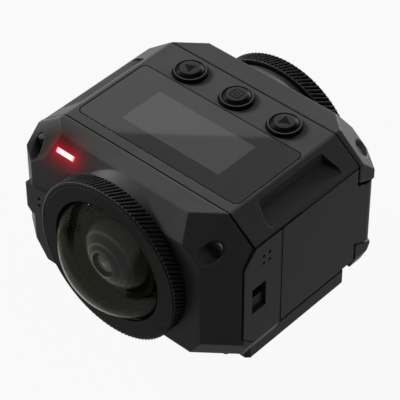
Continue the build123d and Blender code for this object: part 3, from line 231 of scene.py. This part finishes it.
def joints(x, y, z):
    """1 on the lines where the case mouldings meet: the parting planes over the top and the side panel edges."""
    parting, side_face, panel_foot, panel_top, panel_front, door_side = 15.9, 27.9, 6.8, 32.5, 19.1, 7.97
    way = x.step(-1.0, 1.0) * 2.0 - 1.0
    along = y * way
    over_top = abs(abs(y) - parting).step(0.24, 0.14) * z.step(panel_top - 0.2, panel_top + 0.1)
    upper = (along * -0.7363 + z * 0.6766 - 33.55).most(z - panel_top)
    lower = (along * -0.6796 - z * 0.7336 - 5.68).most(panel_foot - z)
    outline = upper.most(lower).most(along * -1.0 - panel_front)
    on_side = abs(x).step(side_face - 0.3, side_face)
    panel_edge = abs(outline + 0.05).step(0.26, 0.14) * on_side * along.step(0.0, -3.0)
    door_edge = abs(y + door_side).step(0.40, 0.28) * x.step(side_face - 0.3, side_face)
    door_edge = door_edge * z.step(panel_foot - 0.2, panel_foot + 0.1) * z.step(panel_top + 0.1, panel_top - 0.1)
    return over_top.most(panel_edge).most(door_edge)


def moulded(name, level, edge_highlight_level, roughness, fine=9.0, edge_radius=0.00016, soft_radius=None, specular=0.05,
            seams=False, painted_lamp_glow=False):
    """Matt moulding: mottled spark texture, a painted highlight along its edges, painted shade in hollows and
    corners, and dark in its narrow joints.
    """
    finish = Finish(name)
    vector = finish.place()
    x, y, z = finish.axes(vector)
    grain = finish.node("ShaderNodeTexNoise", values={
        "Vector": vector, "Scale": fine, "Detail": 2.0, "Roughness": 0.6})
    cloud = finish.node("ShaderNodeTexNoise", values={"Vector": vector, "Scale": 0.12, "Detail": 3.0})
    mottle = (grain * 0.5 + cloud * 0.5).step(0.35, 0.65)
    colour = finish.blend(mottle, shade(level * 0.92), shade(level * 1.08))
    rounded = finish.node("ShaderNodeBevel", {"samples": 8}, {"Radius": edge_radius})
    flat = finish.node("ShaderNodeNewGeometry", output="Normal")
    along = finish.node("ShaderNodeVectorMath", {"operation": "DOT_PRODUCT"}, {0: rounded, 1: flat}, output="Value")
    # Painted highlight: the base colour turns lighter along edges, where an edge would catch the light.
    colour = finish.blend((1 - along).step(0.02, 0.10), colour, shade(edge_highlight_level))
    # Painted shade: the base colour darkens where little open air reaches, in hollows, corners and crevices.
    openness_for_painted_shade = finish.node("ShaderNodeAmbientOcclusion", {"samples": 8}, {"Distance": 0.0025}, output="AO")
    colour = finish.blend(openness_for_painted_shade.step(0.15, 0.85), shade(level * 0.12), colour)
    if seams:
        colour = finish.blend(joints(x, y, z), colour, shade(0.003))
    if soft_radius:
        rounded = finish.node("ShaderNodeBevel", {"samples": 8}, {"Radius": soft_radius})
    relief = finish.node("ShaderNodeBump", values={
        "Height": grain, "Strength": 0.05, "Distance": 0.0002, "Normal": rounded})
    values = {"Base Color": colour, "Roughness": (grain - 0.5) * 0.16 + roughness, "Normal": relief,
              "Specular IOR Level": specular}
    if painted_lamp_glow:
        # Painted glow: red emission on the moulding round the status lamp, fading with distance from it.
        beyond = (abs(x - lamp_x) - lamp_half_length).most(0.0)
        beside, above = y - lamp_y, z - lamp_z
        far = (beyond * beyond + beside * beside + above * above) ** 0.5
        painted_halo = finish.node("ShaderNodeMath", {"operation": "EXPONENT"}, {0: far * -0.75}) * 0.5
        values["Emission Color"] = finish.blend(painted_halo, (0, 0, 0, 1), (1.0, 0.012, 0.03, 1))
        values["Emission Strength"] = 1.0
    finish.surface(finish.node("ShaderNodeBsdfPrincipled", values=values))
    return finish.material


def dress(name, material):
    """Gives a CAD node its material."""
    mesh = nodes[name].data
    mesh.materials.clear()
    mesh.materials.append(material)


nylon, softened = 0.044, 0.0007
case_finish = moulded("case_moulding", nylon, 0.10, 0.45, soft_radius=softened, seams=True)
front_case_finish = moulded("front_case_moulding", nylon, 0.09, 0.45, soft_radius=softened, seams=True, painted_lamp_glow=True)
cover_finish = moulded("cover_moulding", nylon, 0.12, 0.45, seams=True)
dress("front_shell", front_case_finish)
dress("rear_shell", case_finish)
dress("top_cover", cover_finish)

# Frame mouldings. The middle frame with the fixed side panels, the battery door and the mount base are a slightly
# finer, blacker nylon; door and panels meet at narrow open joints. The door's latch is black, the slider grey.
frame_finish = moulded("frame_moulding", 0.030, 0.13, 0.42, fine=12.0, seams=True)
for frame_node in ("centre_frame", "battery_door", "mount_base"):
    dress(frame_node, frame_finish)
latch_finish = moulded("latch_moulding", 0.008, 0.05, 0.4, fine=12.0)
dress("door_latch", latch_finish)
slider_finish = moulded("slider_moulding", 0.035, 0.10, 0.4, fine=12.0)
dress("record_slider", slider_finish)
dress("slider_carrier", slider_finish)

# Window over the display. Hard-coated sheet, printed black round the edge from behind, flush with the deck
# and set in thin tape; behind its clear middle lies the switched-off reflective display.
window_finish = Finish("hard_coated_window")
window_place = window_finish.place()
window_x, window_y = window_finish.axes(window_place)[:2]
display_left, display_right, display_front, display_back = -12.95, 13.1, -8.95, 2.2


def between(reading, low, high):
    """1 between two values of a reading, with the soft edge of printed ink."""
    soft = 0.08
    return reading.step(low - soft, low + soft) * reading.step(high + soft, high - soft)


inside = between(window_x, display_left, display_right) * between(window_y, display_front, display_back)
smudge = window_finish.node("ShaderNodeTexNoise", values={"Vector": window_place, "Scale": 0.25, "Detail": 4.0})
print_edge = window_finish.blend(smudge, shade(0.018), shade(0.022, 0.02))
glass_middle = window_finish.blend(smudge, shade(0.044), shade(0.050))
window_finish.surface(window_finish.node("ShaderNodeBsdfPrincipled", values={
    "Base Color": window_finish.blend(inside, print_edge, glass_middle),
    "Roughness": smudge * 0.02 + 0.015, "Specular IOR Level": 0.5}))
dress("display_window", window_finish.material)

tape_finish = moulded("window_tape_foam", 0.012, 0.012, 0.8, fine=6.0)
dress("window_tape", tape_finish)
display_finish = Finish("display_glass")
display_grid = display_finish.node("ShaderNodeTexChecker", values={"Vector": display_finish.place(), "Scale": 8.0})
display_tone = display_finish.blend(display_grid, (0.16, 0.18, 0.16, 1), (0.18, 0.20, 0.18, 1))
display_finish.surface(display_finish.node("ShaderNodeBsdfPrincipled", values={
    "Base Color": display_tone, "Roughness": 0.25}))
dress("display_module", display_finish.material)

# Buttons. Three round caps of hard grey plastic, each with a darker mark sunk in its flat top, standing in a collar
# of black rubber with three ribs round its foot that keeps water out.
button_spots = (("left_button", -12.4), ("middle_button", 0.4), ("right_button", 13.2))
button_y, cap_top, cap_reach = 10.9, 39.0, 2.0


def circle(radius, steps):
    """Points round a circle, or the one point in its middle where the radius is 0."""
    angles = [2 * math.pi * k / steps for k in range(steps if radius else 1)]
    return [(radius * math.cos(angle), radius * math.sin(angle)) for angle in angles]


def turned_mesh(name, forms, sharp):
    """Mesh of turned forms, each a list of circles of points; a form without points on its axis closes on itself."""
    form_mesh = bmesh.new()
    for circles in forms:
        rows = [[form_mesh.verts.new(point) for point in points] for points in circles]
        closed = rows[1:] + rows[:1] if len(rows[0]) > 1 and len(rows[-1]) > 1 else rows[1:]
        for near, far in zip(rows, closed):
            for k in range(max(len(near), len(far))):
                corners = [near[k % len(near)], near[(k + 1) % len(near)], far[(k + 1) % len(far)], far[k % len(far)]]
                corners = list(dict.fromkeys(corners))
                if len(corners) > 2:
                    form_mesh.faces.new(corners)
    bmesh.ops.recalc_face_normals(form_mesh, faces=form_mesh.faces)
    mesh = bpy.data.meshes.new(name)
    form_mesh.to_mesh(mesh)
    form_mesh.free()
    for face in mesh.polygons:
        face.use_smooth = True
    mesh.set_sharp_from_angle(angle=sharp)
    return mesh


def upright_lathe(name, profile, spots, steps):
    """Form turned from (radius, height) points in millimetres, standing at each (x, y) spot."""
    return turned_mesh(name, [[[((spot_x + x) / 1000, (spot_y + y) / 1000, height / 1000)
                                for x, y in circle(radius, steps)] for radius, height in profile]
                              for spot_x, spot_y in spots], 0.6)


def place_piece(name, mesh, material, body, stands_for, turned=False):
    """A finished mesh as a piece that rides on a body; turned carries it half round to the rear lens."""
    if turned:
        mesh.transform(Matrix.Rotation(math.pi, 4, "Z"))
    piece = bpy.data.objects.new(name, mesh)
    mesh.materials.clear()
    mesh.materials.append(material)
    scene.collection.objects.link(piece)
    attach(piece, body)
    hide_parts(*stands_for)


cap_finish = Finish("button_cap")
cap_place = cap_finish.place()
cap_x, cap_y, cap_z = cap_finish.axes(cap_place)
cap_grain = cap_finish.node("ShaderNodeTexNoise", values={"Vector": cap_place, "Scale": 14.0, "Detail": 2.0})
mark_y = cap_y - button_y


def wedge(x, way):
    """Triangle pointing along X one way or the other, soft at its sides."""
    tip = x * way
    side = abs(mark_y) - (1.62 - tip) * 0.58
    return side.step(0.06, -0.06) * tip.step(-0.82, -0.72)


def frame_mark(x):
    """Rounded camera outline with a ring in it."""
    out = (abs(x) - 1.22).most(abs(mark_y) - 1.30).most((abs(x) + abs(mark_y) - 2.2) * 0.7)
    outline = out.step(-0.30, -0.20) * out.step(0.08, -0.02)
    ring = abs((x * x + mark_y * mark_y) ** 0.5 - 0.52)
    return outline.most(ring.step(0.18, 0.08))


def on_cap(x):
    """1 over the flat top of the cap whose middle is at 0."""
    return abs(x).step(cap_reach, cap_reach - 0.1)


left_x, middle_x, right_x = [cap_x - spot for cap, spot in button_spots]
marks = (wedge(left_x, -1.0) * on_cap(left_x)).most(wedge(right_x, 1.0) * on_cap(right_x))
marks = marks.most(frame_mark(middle_x) * on_cap(middle_x)) * cap_z.step(cap_top - 0.16, cap_top - 0.08)
cap_flat = cap_z.step(cap_top - 0.09, cap_top - 0.03)
cap_mottle = cap_grain.step(0.35, 0.65)
# Painted shade: the cap's sloping sides are painted near black, far darker than its grey flat top.
cap_side_painted_shade = cap_finish.blend(cap_mottle, shade(0.002), shade(0.004))
cap_face = cap_finish.blend(cap_mottle, shade(0.030), shade(0.036))
cap_colour = cap_finish.blend(marks, cap_finish.blend(cap_flat, cap_side_painted_shade, cap_face), shade(0.008))
cap_relief = cap_finish.node("ShaderNodeBump", {"invert": True}, {
    "Height": marks, "Strength": 0.5, "Distance": 0.0001})
cap_finish.surface(cap_finish.node("ShaderNodeBsdfPrincipled", values={
    "Base Color": cap_colour, "Roughness": cap_grain * 0.1 + 0.35, "Specular IOR Level": 0.008,
    "Normal": cap_relief}))
cap_profile = [(0.0, 38.2), (3.0, 38.2), (3.0, 38.42), (2.9, 38.52), (2.45, 38.72), (2.3, 38.88), (2.16, 38.97),
               (2.02, cap_top), (0.0, cap_top)]
for cap, cap_spot in button_spots:
    place_piece(f"{cap}_cap", upright_lathe(f"{cap}_cap", cap_profile, [(cap_spot, button_y)], 64),
                cap_finish.material, f"{cap}_cap", [cap])

collar_finish = Finish("collar_rubber")
collar_place = collar_finish.place()
collar_z = collar_finish.axes(collar_place)[2]
collar_grain = collar_finish.node("ShaderNodeTexNoise", values={"Vector": collar_place, "Scale": 10.0, "Detail": 2.0})
collar_mottle = collar_grain.step(0.35, 0.65)
# Painted highlight: the collar's top rim is painted lighter than the rest of the black rubber.
collar_rim = collar_z.step(38.45, 38.50)
collar_dull = collar_finish.blend(collar_mottle, shade(0.0015), shade(0.003))
collar_rim_painted_highlight = collar_finish.blend(collar_mottle, shade(0.05), shade(0.065))
collar_finish.surface(collar_finish.node("ShaderNodeBsdfPrincipled", values={
    "Base Color": collar_finish.blend(collar_rim, collar_dull, collar_rim_painted_highlight), "Roughness": collar_grain * 0.1 + 0.4,
    "Specular IOR Level": 0.008}))
collar_profile = [(3.12, 36.8), (3.12, 38.38), (3.22, 38.5), (3.42, 38.5), (3.56, 38.44), (3.6, 38.34),
                  (3.56, 38.26), (3.54, 38.2), (3.68, 38.14), (3.72, 38.04), (3.68, 37.96), (3.63, 37.9),
                  (3.78, 37.84), (3.83, 37.74), (3.8, 37.66), (3.72, 37.6), (3.72, 36.8)]
place_piece("ribbed_collars", upright_lathe("ribbed_collars", collar_profile,
                                            [(spot, button_y) for cap, spot in button_spots], 72),
            collar_finish.material, "camera_body", ["button_collars"])

# Lens rings. Turn-on rings of black glass-filled nylon that hold each dome: a plain flat front with a fine
# groove near its rim, and slanting ribs for the fingers all round the outside.
lens_height = 0.01887


def lathe(name, profile, steps, sharp=0.6):
    """Form turned from (radius, distance) points in metres about the axis of the front lens."""
    return turned_mesh(name, [[[(x, -distance, lens_height + rise) for x, rise in circle(radius, steps)]
                               for radius, distance in profile]], sharp)


ring_finish = moulded("ring_moulding", 0.012, 0.2, 0.42, fine=12.0, specular=0.03, edge_radius=0.00010)

rib_tree = bpy.data.node_groups.new("slanting_ribs", "GeometryNodeTree")
rib_sockets = {}
for socket_name, socket_type, value in (
        ("Geometry", "NodeSocketGeometry", None), ("Count", "NodeSocketInt", 110),
        ("Radius", "NodeSocketFloat", 0.0182), ("Rib Radius", "NodeSocketFloat", 0.0003),
        ("Length", "NodeSocketFloat", 0.00356), ("Lean", "NodeSocketFloat", 0.54),
        ("Middle", "NodeSocketFloat", 0.02600), ("Height", "NodeSocketFloat", lens_height),
        ("Material", "NodeSocketMaterial", None)):
    item = rib_tree.interface.new_socket(socket_name, in_out="INPUT", socket_type=socket_type)
    rib_sockets[socket_name] = item.identifier
    if value is not None:
        item.default_value = value
rib_tree.interface.new_socket("Geometry", in_out="OUTPUT", socket_type="NodeSocketGeometry")


def part_of(tree, kind, settings=None, values=None):
    """A Geometry Nodes node by type, settings and socket values or links."""
    made = tree.nodes.new(kind)
    for key, value in (settings or {}).items():
        setattr(made, key, value)
    for key, value in (values or {}).items():
        if isinstance(value, bpy.types.NodeSocket):
            tree.links.new(value, made.inputs[key])
        else:
            made.inputs[key].default_value = value
    return made


rib_in = part_of(rib_tree, "NodeGroupInput").outputs
rib_circle = part_of(rib_tree, "GeometryNodeMeshCircle", values={
    "Vertices": rib_in["Count"], "Radius": rib_in["Radius"]})
rib_bar = part_of(rib_tree, "GeometryNodeMeshCylinder", values={
    "Vertices": 8, "Radius": rib_in["Rib Radius"], "Depth": rib_in["Length"]})
rib_index = part_of(rib_tree, "GeometryNodeInputIndex")
rib_turn = part_of(rib_tree, "ShaderNodeMath", {"operation": "DIVIDE"}, {0: rib_index.outputs[0], 1: rib_in["Count"]})
rib_angle = part_of(rib_tree, "ShaderNodeMath", {"operation": "MULTIPLY"}, {0: rib_turn.outputs[0], 1: 2 * math.pi})
rib_lean = part_of(rib_tree, "ShaderNodeMath", {"operation": "MULTIPLY"}, {0: rib_in["Lean"], 1: -1.0})
rib_way = part_of(rib_tree, "ShaderNodeCombineXYZ", values={0: rib_lean.outputs[0], 2: rib_angle.outputs[0]})
rib_rotation = part_of(rib_tree, "FunctionNodeEulerToRotation", values={0: rib_way.outputs[0]})
rib_set = part_of(rib_tree, "GeometryNodeInstanceOnPoints", values={
    "Points": rib_circle.outputs[0], "Instance": rib_bar.outputs[0], "Rotation": rib_rotation.outputs[0]})
rib_lift = part_of(rib_tree, "ShaderNodeMath", {"operation": "MULTIPLY"}, {0: rib_in["Middle"], 1: -1.0})
rib_offset = part_of(rib_tree, "ShaderNodeCombineXYZ", values={1: rib_lift.outputs[0], 2: rib_in["Height"]})
rib_move = part_of(rib_tree, "GeometryNodeTransform", values={
    "Geometry": rib_set.outputs[0], "Translation": rib_offset.outputs[0], "Rotation": (math.pi / 2, 0, 0)})
rib_join = part_of(rib_tree, "GeometryNodeJoinGeometry")
rib_tree.links.new(rib_move.outputs[0], rib_join.inputs[0])
rib_tree.links.new(rib_in["Geometry"], rib_join.inputs[0])
rib_real = part_of(rib_tree, "GeometryNodeRealizeInstances", values={0: rib_join.outputs[0]})
rib_paint = part_of(rib_tree, "GeometryNodeSetMaterial", values={
    0: rib_real.outputs[0], "Material": rib_in["Material"]})
part_of(rib_tree, "NodeGroupOutput", values={0: rib_paint.outputs[0]})

ring_profile = [(0.0165, 0.02465), (0.01765, 0.02465), (0.01765, 0.0241), (0.01835, 0.0241), (0.01848, 0.02416),
                (0.01848, 0.02432), (0.01835, 0.0244), (0.01785, 0.02446), (0.01785, 0.02748), (0.01832, 0.02754),
                (0.01826, 0.02764), (0.01795, 0.02784), (0.01752, 0.02784), (0.01746, 0.02770), (0.01740, 0.02770),
                (0.01734, 0.02784), (0.01415, 0.02784), (0.01405, 0.02774), (0.01405, 0.0271), (0.0162, 0.0271),
                (0.0162, 0.0264), (0.0173, 0.0264), (0.0173, 0.0252), (0.0165, 0.0252)]
for side, turned in (("front", False), ("rear", True)):
    ring_mesh = lathe(f"{side}_ring_body", ring_profile, 192, sharp=0.45)
    ring_form = bpy.data.objects.new(f"{side}_ring_form", ring_mesh)
    scene.collection.objects.link(ring_form)
    ribs = ring_form.modifiers.new("ribs", "NODES")
    ribs.node_group = rib_tree
    ribs[rib_sockets["Material"]] = ring_finish
    bpy.context.view_layer.update()
    ribbed = bpy.data.meshes.new_from_object(ring_form.evaluated_get(bpy.context.evaluated_depsgraph_get()))
    bpy.data.objects.remove(ring_form)
    ribbed.name = f"{side}_ribbed_ring"
    place_piece(f"{side}_ribbed_ring", ribbed, ring_finish, f"{side}_ring", [f"{side}_lens_ring"], turned)

# Domes. Injection-moulded clear covers with a hard anti-reflection coat, held by the rings on thin seals. The coat
# mirrors little head on and a lot at a glancing angle; its darker patches and one violet patch are painted
# reflections that turn with the ring.
dome_finish = Finish("coated_dome")
dome_place = dome_finish.place()
dome_x, dome_y, dome_z = dome_finish.axes(dome_place)
dome_veil = dome_finish.node("ShaderNodeTexNoise", values={"Vector": dome_place, "Scale": 0.2, "Detail": 2.0})
dome_way = dome_y.step(0.5, -0.5) * 2.0 - 1.0
across_x, over_z = dome_x * dome_way, dome_z - lens_height * 1000
dome_off_axis = (across_x * across_x + over_z * over_z) ** 0.5
# Painted reflections: patches where the dome mirrors less of the room, as if dark things stood round it.
painted_dark_side = across_x.step(8.8, 10.2) * (over_z + across_x * 0.1).step(-0.5, 0.9)
slant = across_x * 0.86 + over_z * 0.36
painted_dark_band = slant.step(-3.6, -2.9) * slant.step(-0.4, -1.1) * over_z.step(4.0, 7.5)
painted_dark_bow = abs(dome_off_axis - 10.2).step(0.9, 0.2) * across_x.step(-2.0, -5.0)
painted_reflection_patches = (1.0 - painted_dark_side * 0.97) * (1.0 - painted_dark_band * 0.75) * (1.0 - painted_dark_bow * 0.5)
dome_olive = dome_finish.blend(dome_veil.step(0.3, 0.7), (0.86, 0.88, 0.62, 1), (0.80, 0.80, 0.70, 1))
# Painted reflection: a violet patch in the mirrored tint.
painted_violet_reflection = (across_x - 6.5).step(3.2, 0.0) * (over_z - 7.0).step(4.5, 0.0)
painted_violet_reflection = painted_violet_reflection * across_x.step(2.5, 6.0) * over_z.step(3.0, 7.0)
dome_tint = dome_finish.blend(painted_violet_reflection, dome_olive, (0.82, 0.70, 0.86, 1))
dome_tint = dome_finish.blend(dome_off_axis.step(11.6, 13.4), dome_tint, (0.66, 0.67, 0.66, 1))
dome_grazing = dome_finish.node("ShaderNodeFresnel", values={"IOR": 1.18})
dome_outside = dome_finish.node("ShaderNodeNewGeometry", output="Backfacing").step(0.6, 0.4)
dome_gleam = (dome_grazing * dome_grazing * 1.7 + 0.019) * painted_reflection_patches * dome_outside
dome_clear = dome_finish.node("ShaderNodeBsdfTransparent", values={0: (0.90, 0.91, 0.86, 1)})
dome_mirror = dome_finish.node("ShaderNodeBsdfPrincipled", values={
    "Base Color": dome_tint, "Metallic": 1.0, "Roughness": 0.03})
dome_finish.surface(dome_finish.node("ShaderNodeMixShader", values={0: dome_gleam, 1: dome_clear, 2: dome_mirror}))


def arc(radius, centre, start, end, steps):
    """Profile points along a circle that is centred on the lens axis, between two angles off that axis."""
    angles = [start + (end - start) * k / steps for k in range(steps + 1)]
    return [(radius * math.sin(angle), centre + radius * math.cos(angle)) for angle in angles]


dome_outer, dome_centre, dome_wall = 0.016464, 0.018436, 0.0012
dome_inner = dome_outer - dome_wall
flange_front, flange_back, flange_radius = 0.0271, 0.0264, 0.0162
inner_end = math.acos((flange_back - dome_centre) / dome_inner)
outer_end = math.acos((flange_front - dome_centre) / dome_outer)
dome_profile = (arc(dome_inner, dome_centre, 0.0, inner_end, 32)
                + [(flange_radius, flange_back), (flange_radius, flange_front)]
                + arc(dome_outer, dome_centre, 0.0, outer_end, 32)[::-1])
for side, turned in (("front", False), ("rear", True)):
    place_piece(f"{side}_clear_dome", lathe(f"{side}_clear_dome", dome_profile, 128, sharp=0.7), dome_finish.material,
                f"{side}_ring", [f"{side}_dome"], turned)

# Lens behind each dome. A coated front element with painted reflections of thin bright rings round a small inner one
# that is painted bright, with a painted highlight at its centre, set in a black cell and baffle, and an anodised
# mount. The rubber seals of domes, shells and door are here as well.
black_finish = moulded("lens_black", 0.004, 0.006, 0.6, fine=10.0, specular=0.03)
mount_finish = moulded("lens_mount_metal", 0.03, 0.08, 0.4, fine=16.0, specular=0.3)
seal_finish = moulded("seal_rubber", 0.006, 0.007, 0.8, fine=8.0, specular=0.03)
glass_finish = Finish("coated_lens")
glass_place = glass_finish.place()
glass_x, glass_z = glass_finish.axes(glass_place)[::2]
glass_cloud = glass_finish.node("ShaderNodeTexNoise", values={"Vector": glass_place, "Scale": 0.3})
glass_rise = glass_z - lens_height * 1000
off_axis = (glass_x * glass_x + glass_rise * glass_rise) ** 0.5
# Painted reflections: thin bright rings and a bright inner disc, then a painted highlight at the very centre.
painted_reflection_rings = (abs(off_axis - 3.1).step(0.22, 0.04) * 0.25).most(abs(off_axis - 4.6).step(0.3, 0.05) * 0.16)
painted_reflection_rings = painted_reflection_rings.most(abs(off_axis - 6.6).step(0.4, 0.1) * 0.12).most(off_axis.step(2.25, 2.0))
glass_dark = glass_finish.blend(glass_cloud, (0.005, 0.006, 0.005, 1), (0.009, 0.009, 0.010, 1))
glass_colour = glass_finish.blend(painted_reflection_rings, glass_dark, (0.45, 0.45, 0.48, 1))
glass_colour = glass_finish.blend(off_axis.step(0.5, 0.3), glass_colour, (0.7, 0.7, 0.72, 1))
glass_finish.surface(glass_finish.node("ShaderNodeBsdfPrincipled", values={
    "Base Color": glass_colour, "Roughness": glass_cloud * 0.05 + 0.18, "Specular IOR Level": 0.10}))

inner_top, inner_reach, inner_curve, inner_steps = 0.0285, 0.0021, 0.014, 6
element_profile = []
for k in range(inner_steps + 1):
    reach = inner_reach * k / inner_steps
    element_profile.append((reach, inner_top - reach * reach / inner_curve))
element_profile += [(inner_reach, 0.0279), (0.0026, 0.0279), (0.0027, 0.0289)] + arc(0.011, 0.0183, 0.25, 0.9, 16)
element_profile += [(0.009, 0.02462), (0.009, 0.0238), (0.0, 0.0238)]
for side, turned in (("front", False), ("rear", True)):
    place_piece(f"{side}_front_element", lathe(f"{side}_front_element", element_profile, 96), glass_finish.material,
                "camera_body", [f"{side}_fisheye_lens"], turned)
    dress(f"{side}_lens_cell", black_finish)
    dress(f"{side}_lens_baffle", black_finish)
    dress(f"{side}_lens_mount", mount_finish)
    dress(f"{side}_dome_seal", seal_finish)
    dress(f"{side}_inner_lenses", glass_finish.material)
dress("shell_gaskets", seal_finish)
dress("door_seal", seal_finish)

# Status lamp. A clear acrylic bar, flush in the front slope and lit red by the lamp board behind it; its middle is
# brightest, and a painted red glow on the moulding beside it stands for its light spreading there.
bar_finish = Finish("lit_bar")
bar_x, bar_y, bar_z = bar_finish.axes(bar_finish.place())
bar_far = abs(bar_x - lamp_x)
bar_beside = ((bar_y - lamp_y) ** 2.0 + (bar_z - lamp_z) ** 2.0) ** 0.5
bar_core = bar_far.step(2.5, 1.8) * bar_beside.step(0.95, 0.4)
bar_light = bar_finish.blend(bar_core, (1.0, 0.06, 0.09, 1), (1.0, 0.68, 0.70, 1))
bar_finish.surface(bar_finish.node("ShaderNodeBsdfPrincipled", values={
    "Base Color": (0.8, 0.5, 0.5, 1), "Roughness": 0.3, "Emission Color": bar_light, "Emission Strength": 1.2}))
dress("lamp_light_pipe", bar_finish.material)


# Fasteners and metal parts. Screws and hinge pin of blackened steel, a brass tripod bushing set in the base, gilt
# spring contacts, tinned steel sockets soldered to their board, and an aluminium plate that spreads the heat.
def metal(name, colour, other, roughness):
    """Bare metal with fine streaks between two tones."""
    finish = Finish(name)
    streak = finish.node("ShaderNodeTexNoise", values={"Vector": finish.place(), "Scale": 8.0, "Detail": 3.0})
    relief = finish.node("ShaderNodeBump", values={"Height": streak, "Strength": 0.08, "Distance": 0.0002})
    finish.surface(finish.node("ShaderNodeBsdfPrincipled", values={
        "Base Color": finish.blend(streak, colour, other), "Metallic": 1.0,
        "Roughness": streak * 0.15 + roughness, "Normal": relief}))
    return finish.material


screw_finish = metal("blackened_steel", shade(0.05), shade(0.09), 0.3)
for screw_node in ("front_shell_screws", "rear_shell_screws", "base_screws", "door_hinge_pin"):
    dress(screw_node, screw_finish)
dress("tripod_bushing", metal("brass", (0.55, 0.42, 0.20, 1), (0.65, 0.50, 0.26, 1), 0.25))
gilt_finish = metal("gilt", (0.70, 0.50, 0.22, 1), (0.78, 0.58, 0.30, 1), 0.2)
for gilt_node in ("battery_contacts", "contact_pads", "latch_detent_spring"):
    dress(gilt_node, gilt_finish)
steel_finish = metal("tinned_steel", (0.55, 0.55, 0.56, 1), (0.66, 0.66, 0.67, 1), 0.22)
for steel_node in ("usb_socket", "hdmi_socket", "card_socket"):
    dress(steel_node, steel_finish)
dress("heat_spreader", metal("aluminium", (0.6, 0.6, 0.61, 1), (0.7, 0.7, 0.71, 1), 0.35))

# Electronics and battery, seen only with the door open or the case apart. Boards with a dark solder mask and moulded
# chips on them, and a wrapped battery and a memory card that slide into their own bay and socket.
board_finish = moulded("solder_mask", 0.02, 0.03, 0.3, fine=3.0, specular=0.5)
for board_node in ("io_board", "main_board", "button_board", "lamp_board", "sensor_boards"):
    dress(board_node, board_finish)
chip_finish = moulded("chip_epoxy", 0.02, 0.03, 0.5, fine=10.0)
for chip_node in ("image_sensors", "slider_sensor", "microphones", "antenna", "button_switches"):
    dress(chip_node, chip_finish)
dress("battery", moulded("battery_wrap", 0.05, 0.08, 0.35, fine=4.0, specular=0.4))
dress("battery_bay", moulded("bay_moulding", 0.03, 0.05, 0.5))
dress("memory_card", moulded("card_shell", 0.03, 0.06, 0.35, fine=8.0))
